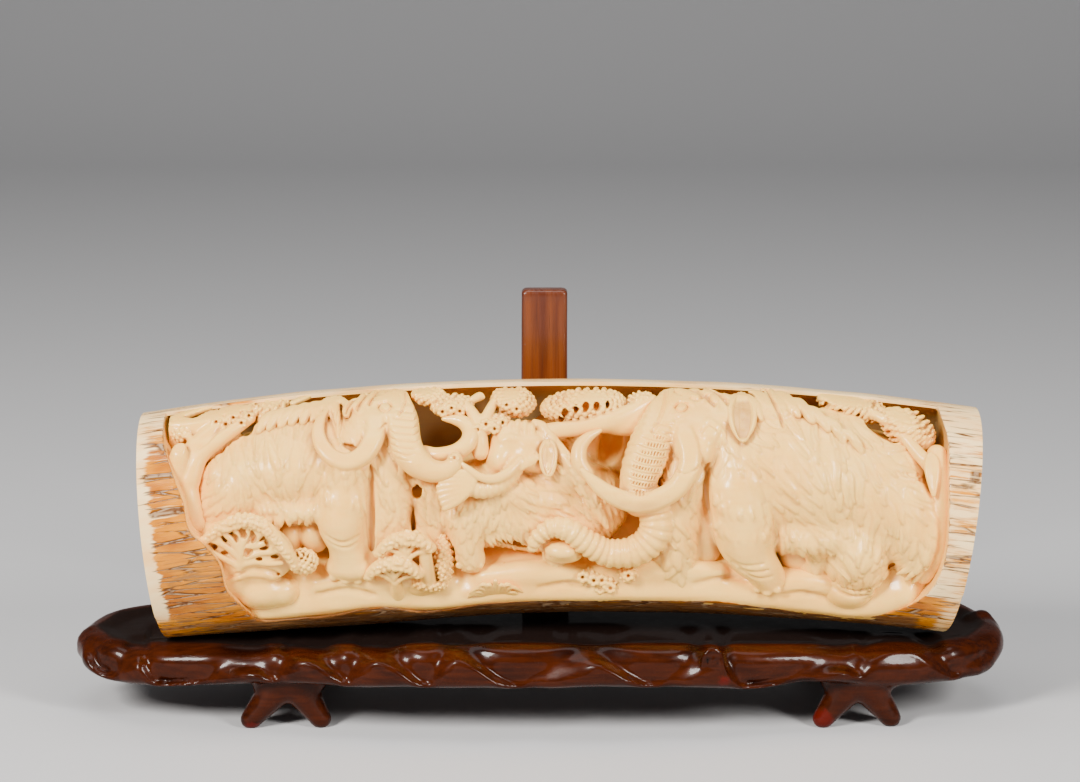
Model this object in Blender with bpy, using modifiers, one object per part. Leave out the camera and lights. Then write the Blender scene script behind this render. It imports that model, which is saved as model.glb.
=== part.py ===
"""A carved section of mammoth tusk lying on its lacquered wooden stand.

The tusk is one arched log of ivory with its bark left on at the ends, the back and the
bottom. A trough is cut into its front and top, and three mammoths among trees and coral
stand in it, all carved from the same piece. The stand is a dished wooden base on forked
feet, with an upright post tenoned into it behind the tusk.

Everything is worked out in millimetres and scaled to metres at the end. X runs along the
tusk, the carved front faces -Y, and the feet stand on Z = 0.
"""

import math
from collections import namedtuple

import bmesh
import bpy
from mathutils import Matrix, Vector
from mathutils.bvhtree import BVHTree

MM = 0.001
CLEARANCE = 0.3  # between pieces that rest on or fit into each other

# ---------------------------------------------------------------- tusk log
CROWN_X, CROWN_Y, CROWN_Z = 9.5, -13.0, 122.4  # centre of the section where the arch is highest
ARCH_RADIUS = 1590.0
ARCH_LEAN = 0.0066  # rise per millimetre towards the right
LOG_HALF_LENGTH = 222.0
LOG_HALF_HEIGHT = 64.6
LOG_END_TAPER = 1.6  # how much less the half height is at the ends
LOG_HALF_DEPTH = 58.0
LOG_SWELL, LOG_SWELL_X, LOG_SWELL_REACH = 3.6, -105.0, 80.0  # fuller underside on the left
LEFT_CUT_EASE = 0.05  # the left end is sawn this much more upright than square to the arch
LEFT_CUT_REACH = 60.0
LOG_STATIONS = 14
LOG_SIDES = 40

# ---------------------------------------------------------------- trough
TOP_WALL = 5.0
BACK_WALL = 31.0
TOP_EDGE_Y = -17.0  # the trough is open in front of this, up to the top of the log
# Rim of the trough seen from the front, in X and Z, from the top left round by the bottom.
TROUGH_RIM = (
    (-206, 215), (-204, 168), (-198, 149), (-190, 131), (-187, 117), (-179, 109), (-171, 98),
    (-168, 82), (-158, 67), (-150, 61), (-114, 63), (-87, 69), (-60, 65), (-22, 71), (43, 73),
    (97, 72), (141, 65), (169, 61), (185, 64), (204, 75), (213, 89), (217, 109), (218, 143),
    (219, 161), (216, 177), (214, 215),
)

# ---------------------------------------------------------------- carving
# A Mass is an ellipsoid: its centre in X and Z, how deep its front lies under the bark, its
# half sizes in X, Z and Y, and its lean in degrees. A Limb is a tapering round run through
# points of X, Z, depth under the bark and radius.
Mass = namedtuple("Mass", "name centre depth half lean")


def limb(name, *points):
    return (name, points)


LEFT_MAMMOTH = (
    Mass("rump", (-164.5, 131), 13, (24, 27.5, 34), 0),
    Mass("barrel", (-135, 143), 9, (43, 31, 40), 12),
    Mass("shoulder", (-104, 146), 10, (27, 34, 38), 0),
    Mass("withers", (-121, 162), 9, (28.5, 18.5, 26), 22),
    Mass("head", (-87, 169), 7, (17, 14, 24), 0),
    Mass("brow", (-88.5, 178), 4, (11, 6, 14), 0),
    Mass("ear", (-112.5, 171), 2, (7, 9, 6), 0),
    Mass("belly_fringe", (-130.5, 120), 16, (34, 9.5, 28), 0),
    limb("near_foreleg", (-104.5, 134, 9, 15), (-106.5, 113, 8, 11.5), (-105.5, 97, 9, 10.5),
         (-104.5, 86, 8, 12.5)),
    limb("far_foreleg", (-84, 158, 14, 12), (-80, 138, 17, 10.5), (-79, 118, 19, 8.5),
         (-80, 96, 20, 9)),
    limb("hind_leg", (-169.5, 122, 14, 14), (-165, 98, 18, 13), (-164.5, 74.5, 22, 13)),
    limb("trunk", (-80, 177.5, 3, 9.5), (-73.5, 168, 2, 8.5), (-72, 158.5, 2, 8),
         (-68.5, 150.5, 3, 7), (-60.5, 146, 3, 6), (-52, 146, 3, 5), (-45.5, 151, 4, 4.5)),
    limb("near_tusk", (-89, 172.5, 2, 5.5), (-90, 163, 0, 5.5), (-95, 154, 0, 5),
         (-102.5, 150, 0, 5), (-111, 153, 0, 4.5), (-117, 159, 0, 4), (-119, 166, 1, 3),
         (-118, 171, 2, 2.5), (-114.5, 174, 3, 1.5)),
    limb("far_tusk", (-54.5, 154, 8, 4.5), (-45.5, 154.5, 9, 4.5), (-38, 160.5, 10, 4),
         (-37.5, 167.5, 11, 3.5), (-43, 171.5, 12, 2.5), (-51.5, 172.5, 12, 1.5)),
)

CALF = (
    Mass("head", (-10, 154), 14, (16.5, 15, 24), 0),
    Mass("forehead", (-18.5, 162), 13, (10, 7.5, 12), 0),
    Mass("cheek", (-20, 148.5), 14, (10.5, 9, 12), 0),
    Mass("ear", (5, 153.5), 10, (5, 9, 4), 0),
    Mass("body", (-5.5, 115.5), 16, (43, 21, 36), -6),
    Mass("chest", (-34, 118), 17, (21, 23, 24), 0),
    Mass("rump", (22, 116), 18, (20, 21, 30), 0),
    Mass("mane", (-10, 128), 14, (46, 17, 32), -10),
    limb("trunk", (-14, 143.5, 12, 4.5), (-21, 137.5, 10, 4.5), (-29, 134.5, 9, 4.5),
         (-37.5, 135.5, 8, 6), (-48, 140, 8, 6)),
    limb("tusk", (-13.5, 147.5, 10, 2.5), (-24, 143, 8, 2.5), (-33, 145, 7, 2), (-40, 149, 7, 1.5)),
    limb("near_foreleg", (-42, 116.5, 16, 9), (-39, 103, 14, 7), (-37, 95, 13, 7.5)),
    limb("far_foreleg", (-57, 130, 20, 5.5), (-57.5, 110.5, 21, 5), (-56.5, 95, 22, 5.5)),
    limb("hind_foot", (11, 110.5, 18, 8), (8.5, 95, 14, 7), (8.5, 87.5, 12, 7.5)),
)

RIGHT_MAMMOTH = (
    Mass("barrel", (144, 135.5), 7, (61.5, 39.5, 44), -12),
    Mass("shoulder", (112, 146), 8, (33, 38, 42), 0),
    Mass("rump", (186, 124), 10, (30, 39.5, 40), 8),
    Mass("hump", (128, 172), 6, (23, 14, 26), -8),
    Mass("back", (169.5, 153.5), 9, (34, 20, 30), -30),
    Mass("head", (84.5, 168), 8, (20, 18, 28), 0),
    Mass("forelock", (82.5, 181), 4, (14, 7.5, 16), 0),
    Mass("cheek", (90, 162), 5, (9, 9, 12), 0),
    Mass("ear", (108.5, 169), 1, (7.5, 15, 5), 0),
    Mass("near_thigh", (171.5, 95), 6, (15.5, 20, 22), 0),
    Mass("near_hind_foot", (169.5, 69.5), 7, (13, 6.5, 13), 0),
    Mass("knee", (106, 106), 5, (15, 14, 20), 0),
    limb("trunk", (74, 180.5, 4, 9.5), (66.5, 171, 4, 11), (59.5, 158, 4, 11.5),
         (54, 146.5, 5, 10.5), (52.5, 136, 8, 8)),
    limb("trunk_curl", (53.5, 135, 9, 7.5), (61, 125.5, 8, 8), (60, 112.5, 5, 8),
         (48.5, 101.5, 3, 7.5), (32.5, 103.5, 3, 7), (21, 112, 3, 6.5), (11, 117, 4, 5.5),
         (2.5, 115, 5, 4.5), (-4.5, 107.5, 6, 3.5)),
    limb("near_tusk", (75, 164, 2, 6), (79, 155, 0, 6), (77.5, 147, 0, 5.5),
         (70.5, 137.5, 0, 5), (59.5, 131.5, 0, 5), (49.5, 130.5, 0, 5), (38.5, 134.5, 0, 4.5),
         (30.5, 140, 1, 3.5), (24, 145.5, 2, 2)),
    limb("far_tusk", (26.5, 145.5, 10, 3), (22, 151.5, 9, 3), (21.5, 157.5, 9, 3),
         (25, 161, 10, 2), (31, 164, 11, 1.5)),
    limb("near_foreleg", (105, 121, 3, 16.5), (112, 102.5, 5, 12), (122, 92, 7, 8),
         (123.5, 84, 9, 7.5)),
    limb("far_foreleg", (80, 144, 14, 14), (72, 120, 13, 10.5), (71.5, 93.5, 13, 9.5),
         (75, 77, 11, 11)),
    limb("far_hind_leg", (147, 110, 17, 9), (148.5, 80, 17, 7.5)),
    limb("tail", (209, 130, 9, 5), (214.5, 117, 8, 4.5), (214.5, 104, 9, 4),
         (208.5, 93.5, 10, 3.5), (200.5, 87.5, 11, 2)),
)

GROVE = (
    limb("left_tree", (-187, 117.5, 12, 4.5), (-188.5, 134.5, 11, 4), (-188, 147.5, 10, 4),
         (-179, 156.5, 8, 3.5), (-166, 166.5, 7, 3.5)),
    Mass("left_crown", (-167.5, 170), 5, (11.5, 7.5, 14), 0),
    Mass("left_leaves", (-194, 162.5), 4, (7, 4, 8), 0),
    Mass("back_scrub", (-150.5, 170.5), 8, (11, 7, 16), 0),
    Mass("berries_a", (-61, 181), 4, (9, 5, 10), 0),
    Mass("berries_b", (-47, 176), 4, (11, 6, 12), 0),
    Mass("berries_c", (-15, 180.5), 4, (9, 7.5, 12), 0),
    Mass("berries_d", (-26, 170.5), 8, (11, 6, 12), 0),
    limb("forked_branch", (-32.5, 160.5, 12, 4), (-33, 173, 9, 3), (-39, 180, 7, 3)),
    limb("forked_twig", (-32.5, 172, 9, 3), (-27, 179.5, 7, 3)),
    Mass("scalloped_canopy", (23, 177.5), 3, (22.5, 11, 18), 3),
    limb("canopy_branch", (4.5, 168, 9, 3), (22.5, 171.5, 7, 3), (37, 174.5, 6, 3),
         (48, 179, 6, 3), (60.5, 182.5, 6, 3)),
    Mass("leaf_tuft", (54, 182), 4, (5.5, 4, 6), 0),
    Mass("right_crown_a", (172, 175.5), 3, (15.5, 7.5, 16), -12),
    Mass("right_crown_b", (202.5, 165.5), 4, (12.5, 10, 16), -35),
    limb("right_branch", (176.5, 170.5, 9, 3), (197.5, 162.5, 8, 3), (211, 158, 7, 3),
         (214, 152, 6, 3.5), (218, 141, 7, 2.5)),
    limb("fan_canopy", (-180, 112, 5, 3), (-164.5, 120.5, 3, 3.5), (-156, 123, 3, 3.5),
         (-146, 118.5, 3, 3.5), (-139, 109.5, 4, 3.5), (-133.5, 99, 6, 3)),
    limb("fan_trunk", (-163, 86.5, 8, 6), (-162.5, 98, 6, 3.5), (-160.5, 105.5, 5, 2)),
    limb("fan_rib_a", (-162.5, 98.5, 6, 2), (-168, 107.5, 5, 1.5), (-172, 116, 5, 1.5)),
    limb("fan_rib_b", (-162, 101, 6, 2), (-162, 111.5, 5, 1.5), (-162, 119.5, 4, 1.5)),
    limb("fan_rib_c", (-160.5, 101, 6, 2), (-153.5, 107.5, 5, 1.5), (-151.5, 119.5, 4, 1.5)),
    limb("fan_rib_d", (-159.5, 98.5, 6, 2), (-148.5, 103, 5, 1.5), (-143, 110.5, 4, 1.5)),
    Mass("fan_rock", (-150, 76), 3, (20.5, 15, 24), 0),
    Mass("gravel", (-126, 97), 8, (6.5, 5, 7), 0),
    limb("twin_canopy_top", (-82, 106.5, 6, 3), (-75, 111.5, 4, 3.5), (-65.5, 112.5, 3, 3.5),
         (-57, 107, 4, 3)),
    limb("twin_canopy_low", (-91, 92, 5, 3), (-83.5, 97, 3, 3.5), (-72.5, 97, 2, 3.5),
         (-64, 90.5, 3, 3)),
    limb("twin_stem", (-62, 103.5, 6, 4), (-61.5, 86, 6, 4.5)),
    limb("twin_trunk", (-77, 92.5, 4, 4.5), (-77.5, 76, 4, 5.5)),
    Mass("twin_rim", (-59.5, 84), 4, (10.5, 4, 8), 0),
    Mass("twin_shade", (-52.5, 96), 9, (6.5, 14.5, 12), 0),
    Mass("coral_cluster", (31.5, 84), 2, (11, 8, 9), 0),
    Mass("rosette", (49, 89), 2, (4.5, 4, 5), 0),
    Mass("fruit", (11.5, 103), 1, (9, 5, 8), 0),
)

# The ground slopes up from the rim in three soft swells, each deeper than the last.
GROUND = (
    limb("front_swell", (-146, 66, 4, 9), (-112, 70, 4, 9), (-88, 74, 5, 8), (-58, 70, 4, 8),
         (-22, 76, 4, 8), (20, 77, 4, 8), (60, 78, 4, 8), (97, 78, 5, 8), (141, 72, 5, 9),
         (172, 66, 4, 8), (196, 76, 6, 8)),
    limb("middle_swell", (-165, 78, 16, 16), (-110, 80, 18, 15), (-60, 80, 18, 15),
         (0, 84, 18, 15), (60, 84, 18, 14), (110, 82, 18, 15), (160, 78, 18, 16),
         (204, 88, 18, 13)),
    limb("back_swell", (-180, 100, 40, 26), (-110, 98, 42, 26), (-50, 98, 42, 26),
         (0, 100, 42, 26), (60, 100, 42, 26), (110, 98, 42, 26), (160, 96, 42, 26),
         (204, 104, 40, 20)),
)

# Locks of fur: rows across a coat, given as where the row starts and ends in X and Z, how
# many locks it has, and the direction and length in which they hang.
FurRow = namedtuple("FurRow", "start end count direction length")
FUR = (
    FurRow((-188, 138), (-120, 168), 6, (-0.55, -1.0), 20),
    FurRow((-184, 122), (-118, 148), 6, (-0.35, -1.0), 18),
    FurRow((-150, 118), (-92, 126), 5, (0.1, -1.0), 13),
    FurRow((-46, 132), (12, 136), 6, (0.35, -1.0), 14),
    FurRow((-40, 112), (28, 116), 6, (0.6, -1.0), 14),
    FurRow((118, 172), (196, 152), 7, (0.75, -1.0), 26),
    FurRow((102, 152), (204, 138), 9, (0.6, -1.0), 26),
    FurRow((96, 130), (206, 116), 9, (0.35, -1.0), 22),
    FurRow((128, 108), (200, 100), 6, (0.45, -1.0), 18),
)
LOCK_RADIUS = 2.6
LOCK_TIP_RADIUS = 1.0
LOCK_BEND = 0.35  # how far a lock sways sideways, as a share of its length
LOCK_STEP = 4.0  # a lock ends where the coat under it drops by more than this

CARVING_VOXEL = 1.1
CARVING_INSET = 0.8  # the carving stays this far under the bark
CARVING_TRIANGLES = 6000

# ---------------------------------------------------------------- stand
# The rolled rim of the base, as points of X, Y, Z and radius round the tray.
BASE_RIM = (
    (-248, -2, 33, 11), (-236, -24, 32, 11), (-206, -36, 31.5, 11.5), (-160, -46, 33.5, 12),
    (-110, -55, 37, 12), (-55, -61, 39.5, 12.2), (0, -62, 40, 12.2), (55, -61, 39.5, 12.2),
    (110, -56, 37.5, 12), (160, -47, 34.5, 12), (206, -37, 32.5, 11.5), (236, -24, 33, 11),
    (249, 0, 35, 10.5), (243, 24, 36, 10), (222, 42, 38, 11), (160, 53, 37, 12),
    (100, 60, 36, 12), (50, 63, 36, 12.5), (0, 64, 36, 13), (-50, 63, 36, 12.5),
    (-100, 60, 36, 12), (-160, 53, 35, 12), (-210, 42, 34.5, 11), (-238, 24, 34.5, 11),
)
TRAY_BOTTOM, TRAY_TOP = 23.0, 39.5
TRAY_RISE, TRAY_REACH = 8.5, 262.0  # the tray's top is arched, as the rim is
# Folds carved down the front of the rim, each from its upper to its lower end.
RIM_FOLDS = (
    limb("fold_a", (-219, -46, 38, 3.5), (-212, -48, 27, 4), (-196, -50, 22, 4)),
    limb("fold_b", (-178, -53, 31, 4), (-160, -56, 34, 4), (-146, -57, 27, 4)),
    limb("fold_c", (-138, -61, 43, 4), (-124, -65, 40, 4), (-108, -66, 31, 4)),
    limb("fold_d", (-99, -66, 46, 4), (-80, -71, 40, 4), (-62, -71, 30, 4)),
    limb("fold_e", (-53, -71, 48, 4), (-38, -73, 43, 4), (-14, -72, 31, 4)),
    limb("fold_f", (30, -71, 48, 4), (46, -73, 42, 4), (66, -70, 31, 4)),
    limb("fold_g", (95, -67, 46, 4), (100, -68, 38, 5), (112, -66, 29, 4)),
    limb("fold_h", (148, -58, 28, 4), (168, -57, 33, 4), (180, -54, 28, 4)),
    limb("fold_i", (186, -50, 41, 4), (206, -47, 37, 4), (228, -38, 27, 4)),
)
RIGHT_KNOB = limb("knob", (247, 18, 40, 7), (253, 12, 38, 7))
# Each forked foot: where it leaves the base and where its two prongs stand, in X and Y.
FEET = (
    ((-137, -43), (-158, -46), (-120, -45)),
    ((174, -42), (155, -45), (192, -43)),
    ((-137, 43), (-156, 47), (-120, 47)),
    ((172, 43), (155, 47), (190, 46)),
)
# A prong from the base down: share of the way out to its toe, height and radius.
PRONG = ((0.0, 29.0, 11.0), (0.36, 21.0, 10.0), (0.55, 15.0, 8.6), (0.79, 7.5, 6.8), (1.0, 0.0, 6.0),
         (1.16, -8.0, 6.0))
RIM_DROP, RIM_DROP_REACH = 4.0, 150.0  # how much deeper the front of the rim is in the middle
STAND_VOXEL = 1.8
STAND_TRIANGLES = 2300

# ---------------------------------------------------------------- post
POST_X = 2.5
POST_WIDTH, POST_THICKNESS = 27.5, 12.0
POST_FRONT_Y = 45.8
POST_TOP, POST_FOOT = 226.0, 30.0
POST_TAPER = 0.94  # width at the top over width at the foot
POST_EDGE = 2.2


# ================================================================ shared helpers
def clear_scene():
    for old in list(bpy.data.objects):
        bpy.data.objects.remove(old, do_unlink=True)


def new_collection(name, hidden=False):
    collection = bpy.data.collections.new(name)
    collection.hide_render = hidden
    bpy.context.scene.collection.children.link(collection)
    return collection


def mesh_object(name, mesh, collection):
    made = bpy.data.objects.new(name, mesh)
    collection.objects.link(made)
    if collection.hide_render:
        made.hide_render = True
        made.display_type = "WIRE"
    return made


def discard(*objects):
    for used in objects:
        bpy.data.objects.remove(used, do_unlink=True)


def baked(obj):
    """The object with its modifiers applied, under its own name."""
    graph = bpy.context.evaluated_depsgraph_get()
    graph.update()
    mesh = bpy.data.meshes.new_from_object(obj.evaluated_get(graph))
    obj.modifiers.clear()
    obj.data = mesh
    return obj


def boolean(obj, other, operation):
    cut = obj.modifiers.new(operation.lower(), "BOOLEAN")
    cut.operation = operation
    cut.object = other
    return baked(obj)


def tube(name, points, collection, sides=12):
    """A closed round tube through points of X, Y, Z and radius, as a mesh."""
    curve = bpy.data.curves.new(name, "CURVE")
    curve.dimensions = "3D"
    curve.bevel_depth = 1.0
    curve.bevel_resolution = sides // 4 - 1
    curve.use_fill_caps = True
    spline = curve.splines.new("POLY")
    spline.points.add(len(points) - 1)
    for target, (x, y, z, radius) in zip(spline.points, points):
        target.co = (x, y, z, 1.0)
        target.radius = radius
    guide = bpy.data.objects.new(name + "_guide", curve)
    collection.objects.link(guide)
    graph = bpy.context.evaluated_depsgraph_get()
    mesh = bpy.data.meshes.new_from_object(guide.evaluated_get(graph))
    discard(guide)
    weld(mesh)
    return mesh_object(name, mesh, collection)


def weld(mesh):
    work = bmesh.new()
    work.from_mesh(mesh)
    bmesh.ops.remove_doubles(work, verts=work.verts, dist=0.001)
    bmesh.ops.recalc_face_normals(work, faces=work.faces)
    work.to_mesh(mesh)
    work.free()


def ball(name, centre, half, lean, collection):
    """An ellipsoid with half sizes in X, Z and Y, leaning about Y."""
    work = bmesh.new()
    bmesh.ops.create_uvsphere(work, u_segments=24, v_segments=16, radius=1.0)
    place = (
        Matrix.Translation(centre)
        @ Matrix.Rotation(-math.radians(lean), 4, "Y")
        @ Matrix.Diagonal((half[0], half[2], half[1], 1.0))
    )
    bmesh.ops.transform(work, matrix=place, verts=work.verts)
    mesh = bpy.data.meshes.new(name)
    work.to_mesh(mesh)
    work.free()
    return mesh_object(name, mesh, collection)


def smooth_path(points, steps=4):
    """Catmull-Rom points through the given ones, in any number of dimensions."""
    rows = [points[0]] + list(points) + [points[-1]]
    path = []
    for before, start, end, after in zip(rows, rows[1:], rows[2:], rows[3:]):
        for step in range(steps):
            t = step / steps
            path.append(tuple(
                0.5 * (2 * b + (c - a) * t + (2 * a - 5 * b + 4 * c - d) * t * t
                       + (3 * b - a - 3 * c + d) * t ** 3)
                for a, b, c, d in zip(before, start, end, after)
            ))
    path.append(tuple(points[-1]))
    return path


def joined(name, pieces, collection):
    """All the pieces in one object, still separate shells."""
    work = bmesh.new()
    for piece in pieces:
        work.from_mesh(piece.data)
    mesh = bpy.data.meshes.new(name)
    work.to_mesh(mesh)
    work.free()
    discard(*pieces)
    return mesh_object(name, mesh, collection)


def fused(obj, voxel, soften):
    """One skin round all the shells of the object, softened a little."""
    remesh = obj.modifiers.new("fuse", "REMESH")
    remesh.mode = "VOXEL"
    remesh.voxel_size = voxel
    smooth = obj.modifiers.new("soften", "SMOOTH")
    smooth.factor = 0.5
    smooth.iterations = soften
    return baked(obj)


def thinned(obj, triangles):
    obj.data.calc_loop_triangles()
    thin = obj.modifiers.new("thin", "DECIMATE")
    thin.ratio = min(1.0, triangles / len(obj.data.loop_triangles))
    thin.use_collapse_triangulate = True
    return baked(obj)


def largest_body(obj):
    """Drops loose crumbs and keeps the biggest connected shell."""
    work = bmesh.new()
    work.from_mesh(obj.data)
    unseen = set(work.verts)
    bodies = []
    while unseen:
        reached = {unseen.pop()}
        edge = list(reached)
        while edge:
            vert = edge.pop()
            for link in vert.link_edges:
                other = link.other_vert(vert)
                if other in unseen:
                    unseen.discard(other)
                    reached.add(other)
                    edge.append(other)
        bodies.append(reached)
    keep = max(bodies, key=len)
    loose = [vert for vert in work.verts if vert not in keep]
    bmesh.ops.delete(work, geom=loose, context="VERTS")
    work.to_mesh(obj.data)
    work.free()
    return obj


def material(name, colour, roughness, coat=0.0):
    made = bpy.data.materials.new(name)
    made.use_nodes = True
    shader = made.node_tree.nodes["Principled BSDF"]
    shader.inputs["Base Color"].default_value = (*colour, 1.0)
    shader.inputs["Roughness"].default_value = roughness
    shader.inputs["Metallic"].default_value = 0.0
    shader.inputs["Coat Weight"].default_value = coat
    return made


# ================================================================ the log's own shape
def log_centre(x):
    along = x - CROWN_X
    return CROWN_Z + along * ARCH_LEAN - along * along / (2 * ARCH_RADIUS)


def log_half_height(x):
    return LOG_HALF_HEIGHT - LOG_END_TAPER * ((x - CROWN_X) / LOG_HALF_LENGTH) ** 2


def bark_front(x, z):
    """Y of the log's front surface at this X and Z."""
    height = (z - log_centre(x)) / log_half_height(x)
    height = max(-0.995, min(0.995, height))
    return CROWN_Y - LOG_HALF_DEPTH * math.sqrt(1 - height * height)


def under_bark(x, z, depth):
    return bark_front(x, z) + depth


def log_solid(name, collection, top_wall=0.0, back_wall=0.0):
    """The arched log, or the smaller one that its trough is hollowed to."""
    points = []
    for station in range(LOG_STATIONS + 1):
        angle = (2 * station / LOG_STATIONS - 1) * LOG_HALF_LENGTH / ARCH_RADIUS
        x = CROWN_X + ARCH_RADIUS * math.sin(angle)
        points.append((x, CROWN_Y, log_centre(x), log_half_height(x) - top_wall))
    made = tube(name, points, collection, sides=LOG_SIDES)
    for vert in made.data.vertices:
        x, y, z = vert.co
        half = log_half_height(x)
        vert.co.y = CROWN_Y + (y - CROWN_Y) * (LOG_HALF_DEPTH - back_wall) / (half - top_wall)
        below = max(0.0, (log_centre(x) - z) / half)
        bell = math.exp(-((x - LOG_SWELL_X) / LOG_SWELL_REACH) ** 2)
        vert.co.z = z - LOG_SWELL * below * bell
        near_end = max(0.0, 1 - (x - CROWN_X + LOG_HALF_LENGTH) / LEFT_CUT_REACH)
        vert.co.x = x - LEFT_CUT_EASE * min(1.0, near_end) * (log_centre(x) - z)
    return made


def trough_cutter(collection):
    """What is hollowed out: the rim's outline run through to a rounded back wall."""
    outline = bpy.data.curves.new("trough_outline", "CURVE")
    outline.dimensions = "2D"
    outline.fill_mode = "BOTH"
    outline.extrude = 70.0
    spline = outline.splines.new("POLY")
    spline.points.add(len(TROUGH_RIM) - 1)
    for target, (x, z) in zip(spline.points, TROUGH_RIM):
        target.co = (x, z, 0.0, 1.0)
    spline.use_cyclic_u = True
    guide = bpy.data.objects.new("trough_guide", outline)
    collection.objects.link(guide)
    graph = bpy.context.evaluated_depsgraph_get()
    mesh = bpy.data.meshes.new_from_object(guide.evaluated_get(graph))
    discard(guide)
    mesh.transform(Matrix.Translation((0, -35.0, 0)) @ Matrix.Rotation(math.pi / 2, 4, "X"))
    weld(mesh)
    cutter = mesh_object("trough_cutter", mesh, collection)

    hollow = log_solid("trough_hollow", collection, TOP_WALL, BACK_WALL)
    work = bmesh.new()
    bmesh.ops.create_cube(work, size=1.0)
    front = Matrix.Translation((0, TOP_EDGE_Y - 60.0, 130.0)) @ Matrix.Diagonal((520, 120, 200, 1))
    bmesh.ops.transform(work, matrix=front, verts=work.verts)
    front_mesh = bpy.data.meshes.new("trough_front")
    work.to_mesh(front_mesh)
    work.free()
    front_box = mesh_object("trough_front", front_mesh, collection)
    boolean(hollow, front_box, "UNION")
    boolean(cutter, hollow, "INTERSECT")
    discard(hollow, front_box)
    return cutter


# ================================================================ the carving
def mass_body(mass, collection):
    x, z = mass.centre
    y = under_bark(x, z, mass.depth) + mass.half[2]
    return ball(mass.name, (x, y, z), mass.half, mass.lean, collection)


def limb_body(name, points, collection):
    path = [(x, under_bark(x, z, depth) + radius, z, radius)
            for x, z, depth, radius in smooth_path(points)]
    return tube(name, path, collection)


def carved_group(features, collection):
    return [
        mass_body(feature, collection) if isinstance(feature, Mass)
        else limb_body(*feature, collection)
        for feature in features
    ]


def fur_locks(carving, collection):
    """Locks that lie on the coats, in the rows of FUR."""
    surface = BVHTree.FromPolygons(
        [vert.co.copy() for vert in carving.data.vertices],
        [tuple(face.vertices) for face in carving.data.polygons],
    )
    locks = []
    for row, fur in enumerate(FUR):
        lean = Vector((fur.direction[0], 0, fur.direction[1])).normalized()
        side = Vector((-lean.z, 0, lean.x))
        for index in range(fur.count):
            share = (index + 0.5) / fur.count
            x = fur.start[0] + (fur.end[0] - fur.start[0]) * share
            z = fur.start[1] + (fur.end[1] - fur.start[1]) * share
            sway = LOCK_BEND * math.sin(2.4 * index + row)
            path = []
            for step in range(6):
                t = step / 5
                offset = lean * (fur.length * t) + side * (fur.length * sway * t * (1 - t))
                probe = Vector((x + offset.x, -120.0, z + offset.z))
                hit = surface.ray_cast(probe, Vector((0, 1, 0)))[0]
                if hit is None or (path and abs(hit.y - path[-1][1]) > LOCK_STEP):
                    break
                radius = LOCK_TIP_RADIUS + (LOCK_RADIUS - LOCK_TIP_RADIUS) * math.sin(
                    math.pi * (0.25 + 0.75 * t))
                path.append((hit.x, hit.y + 0.2 * radius, hit.z, radius))
            if len(path) > 2:
                locks.append(tube(f"lock_{row}_{index}", path, collection, sides=8))
    return locks


def kept_in_log(obj, inset):
    """Pulls every point that stands out of the log back to just under its bark."""
    for vert in obj.data.vertices:
        half = log_half_height(vert.co.x)
        centre = log_centre(vert.co.x)
        across = (vert.co.y - CROWN_Y) / (LOG_HALF_DEPTH - inset)
        up = (vert.co.z - centre) / (half - inset)
        reach = math.hypot(across, up)
        if reach > 1.0:
            vert.co.y = CROWN_Y + (vert.co.y - CROWN_Y) / reach
            vert.co.z = centre + (vert.co.z - centre) / reach
        limit = LOG_HALF_LENGTH - 2.0
        vert.co.x = max(CROWN_X - limit, min(CROWN_X + limit, vert.co.x))


def carving_body(collection):
    pieces = []
    for group in (LEFT_MAMMOTH, CALF, RIGHT_MAMMOTH, GROVE, GROUND):
        pieces += carved_group(group, collection)
    carving = fused(joined("carving", pieces, collection), CARVING_VOXEL, soften=3)
    locks = fur_locks(carving, collection)
    carving = fused(joined("carving", [carving] + locks, collection), CARVING_VOXEL, soften=1)
    kept_in_log(carving, CARVING_INSET)
    return thinned(carving, CARVING_TRIANGLES)


def make_tusk(parts, cutters):
    tusk = log_solid("carved_tusk", parts)
    cutter = trough_cutter(cutters)
    boolean(tusk, cutter, "DIFFERENCE")
    carving = carving_body(cutters)
    boolean(tusk, carving, "UNION")
    discard(cutter, carving)
    tusk.data.materials.clear()
    tusk.data.materials.append(material("carved_ivory", (0.82, 0.66, 0.46), 0.32, coat=0.2))
    return largest_body(tusk)


# ================================================================ the stand
def tray(collection):
    """The floor of the base: a slab inside the rolled rim, its top arched along X."""
    outline = bpy.data.curves.new("tray", "CURVE")
    outline.dimensions = "2D"
    outline.fill_mode = "BOTH"
    outline.extrude = (TRAY_TOP - TRAY_BOTTOM) / 2
    spline = outline.splines.new("POLY")
    spline.points.add(len(BASE_RIM) - 1)
    for target, (x, y, _z, _radius) in zip(spline.points, BASE_RIM):
        target.co = (x, y, 0.0, 1.0)
    spline.use_cyclic_u = True
    guide = bpy.data.objects.new("tray_guide", outline)
    guide.location.z = (TRAY_TOP + TRAY_BOTTOM) / 2
    collection.objects.link(guide)
    bpy.context.view_layer.update()
    graph = bpy.context.evaluated_depsgraph_get()
    mesh = bpy.data.meshes.new_from_object(guide.evaluated_get(graph))
    mesh.transform(guide.matrix_world)
    discard(guide)
    weld(mesh)
    slab = fused(mesh_object("tray", mesh, collection), STAND_VOXEL, soften=0)
    for vert in slab.data.vertices:
        height = (vert.co.z - TRAY_BOTTOM) / (TRAY_TOP - TRAY_BOTTOM)
        vert.co.z += TRAY_RISE * height * (1 - (vert.co.x / TRAY_REACH) ** 2)
    return slab


def forked_foot(number, top, left, right, collection):
    pieces = []
    for side, toe in (("left", left), ("right", right)):
        points = []
        for share, height, radius in PRONG:
            x = top[0] + (toe[0] - top[0]) * share
            y = top[1] + (toe[1] - top[1]) * share
            points.append((x, y, height, radius))
        pieces.append(tube(f"foot_{number}_{side}", smooth_path(points), collection))
    return pieces


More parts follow.
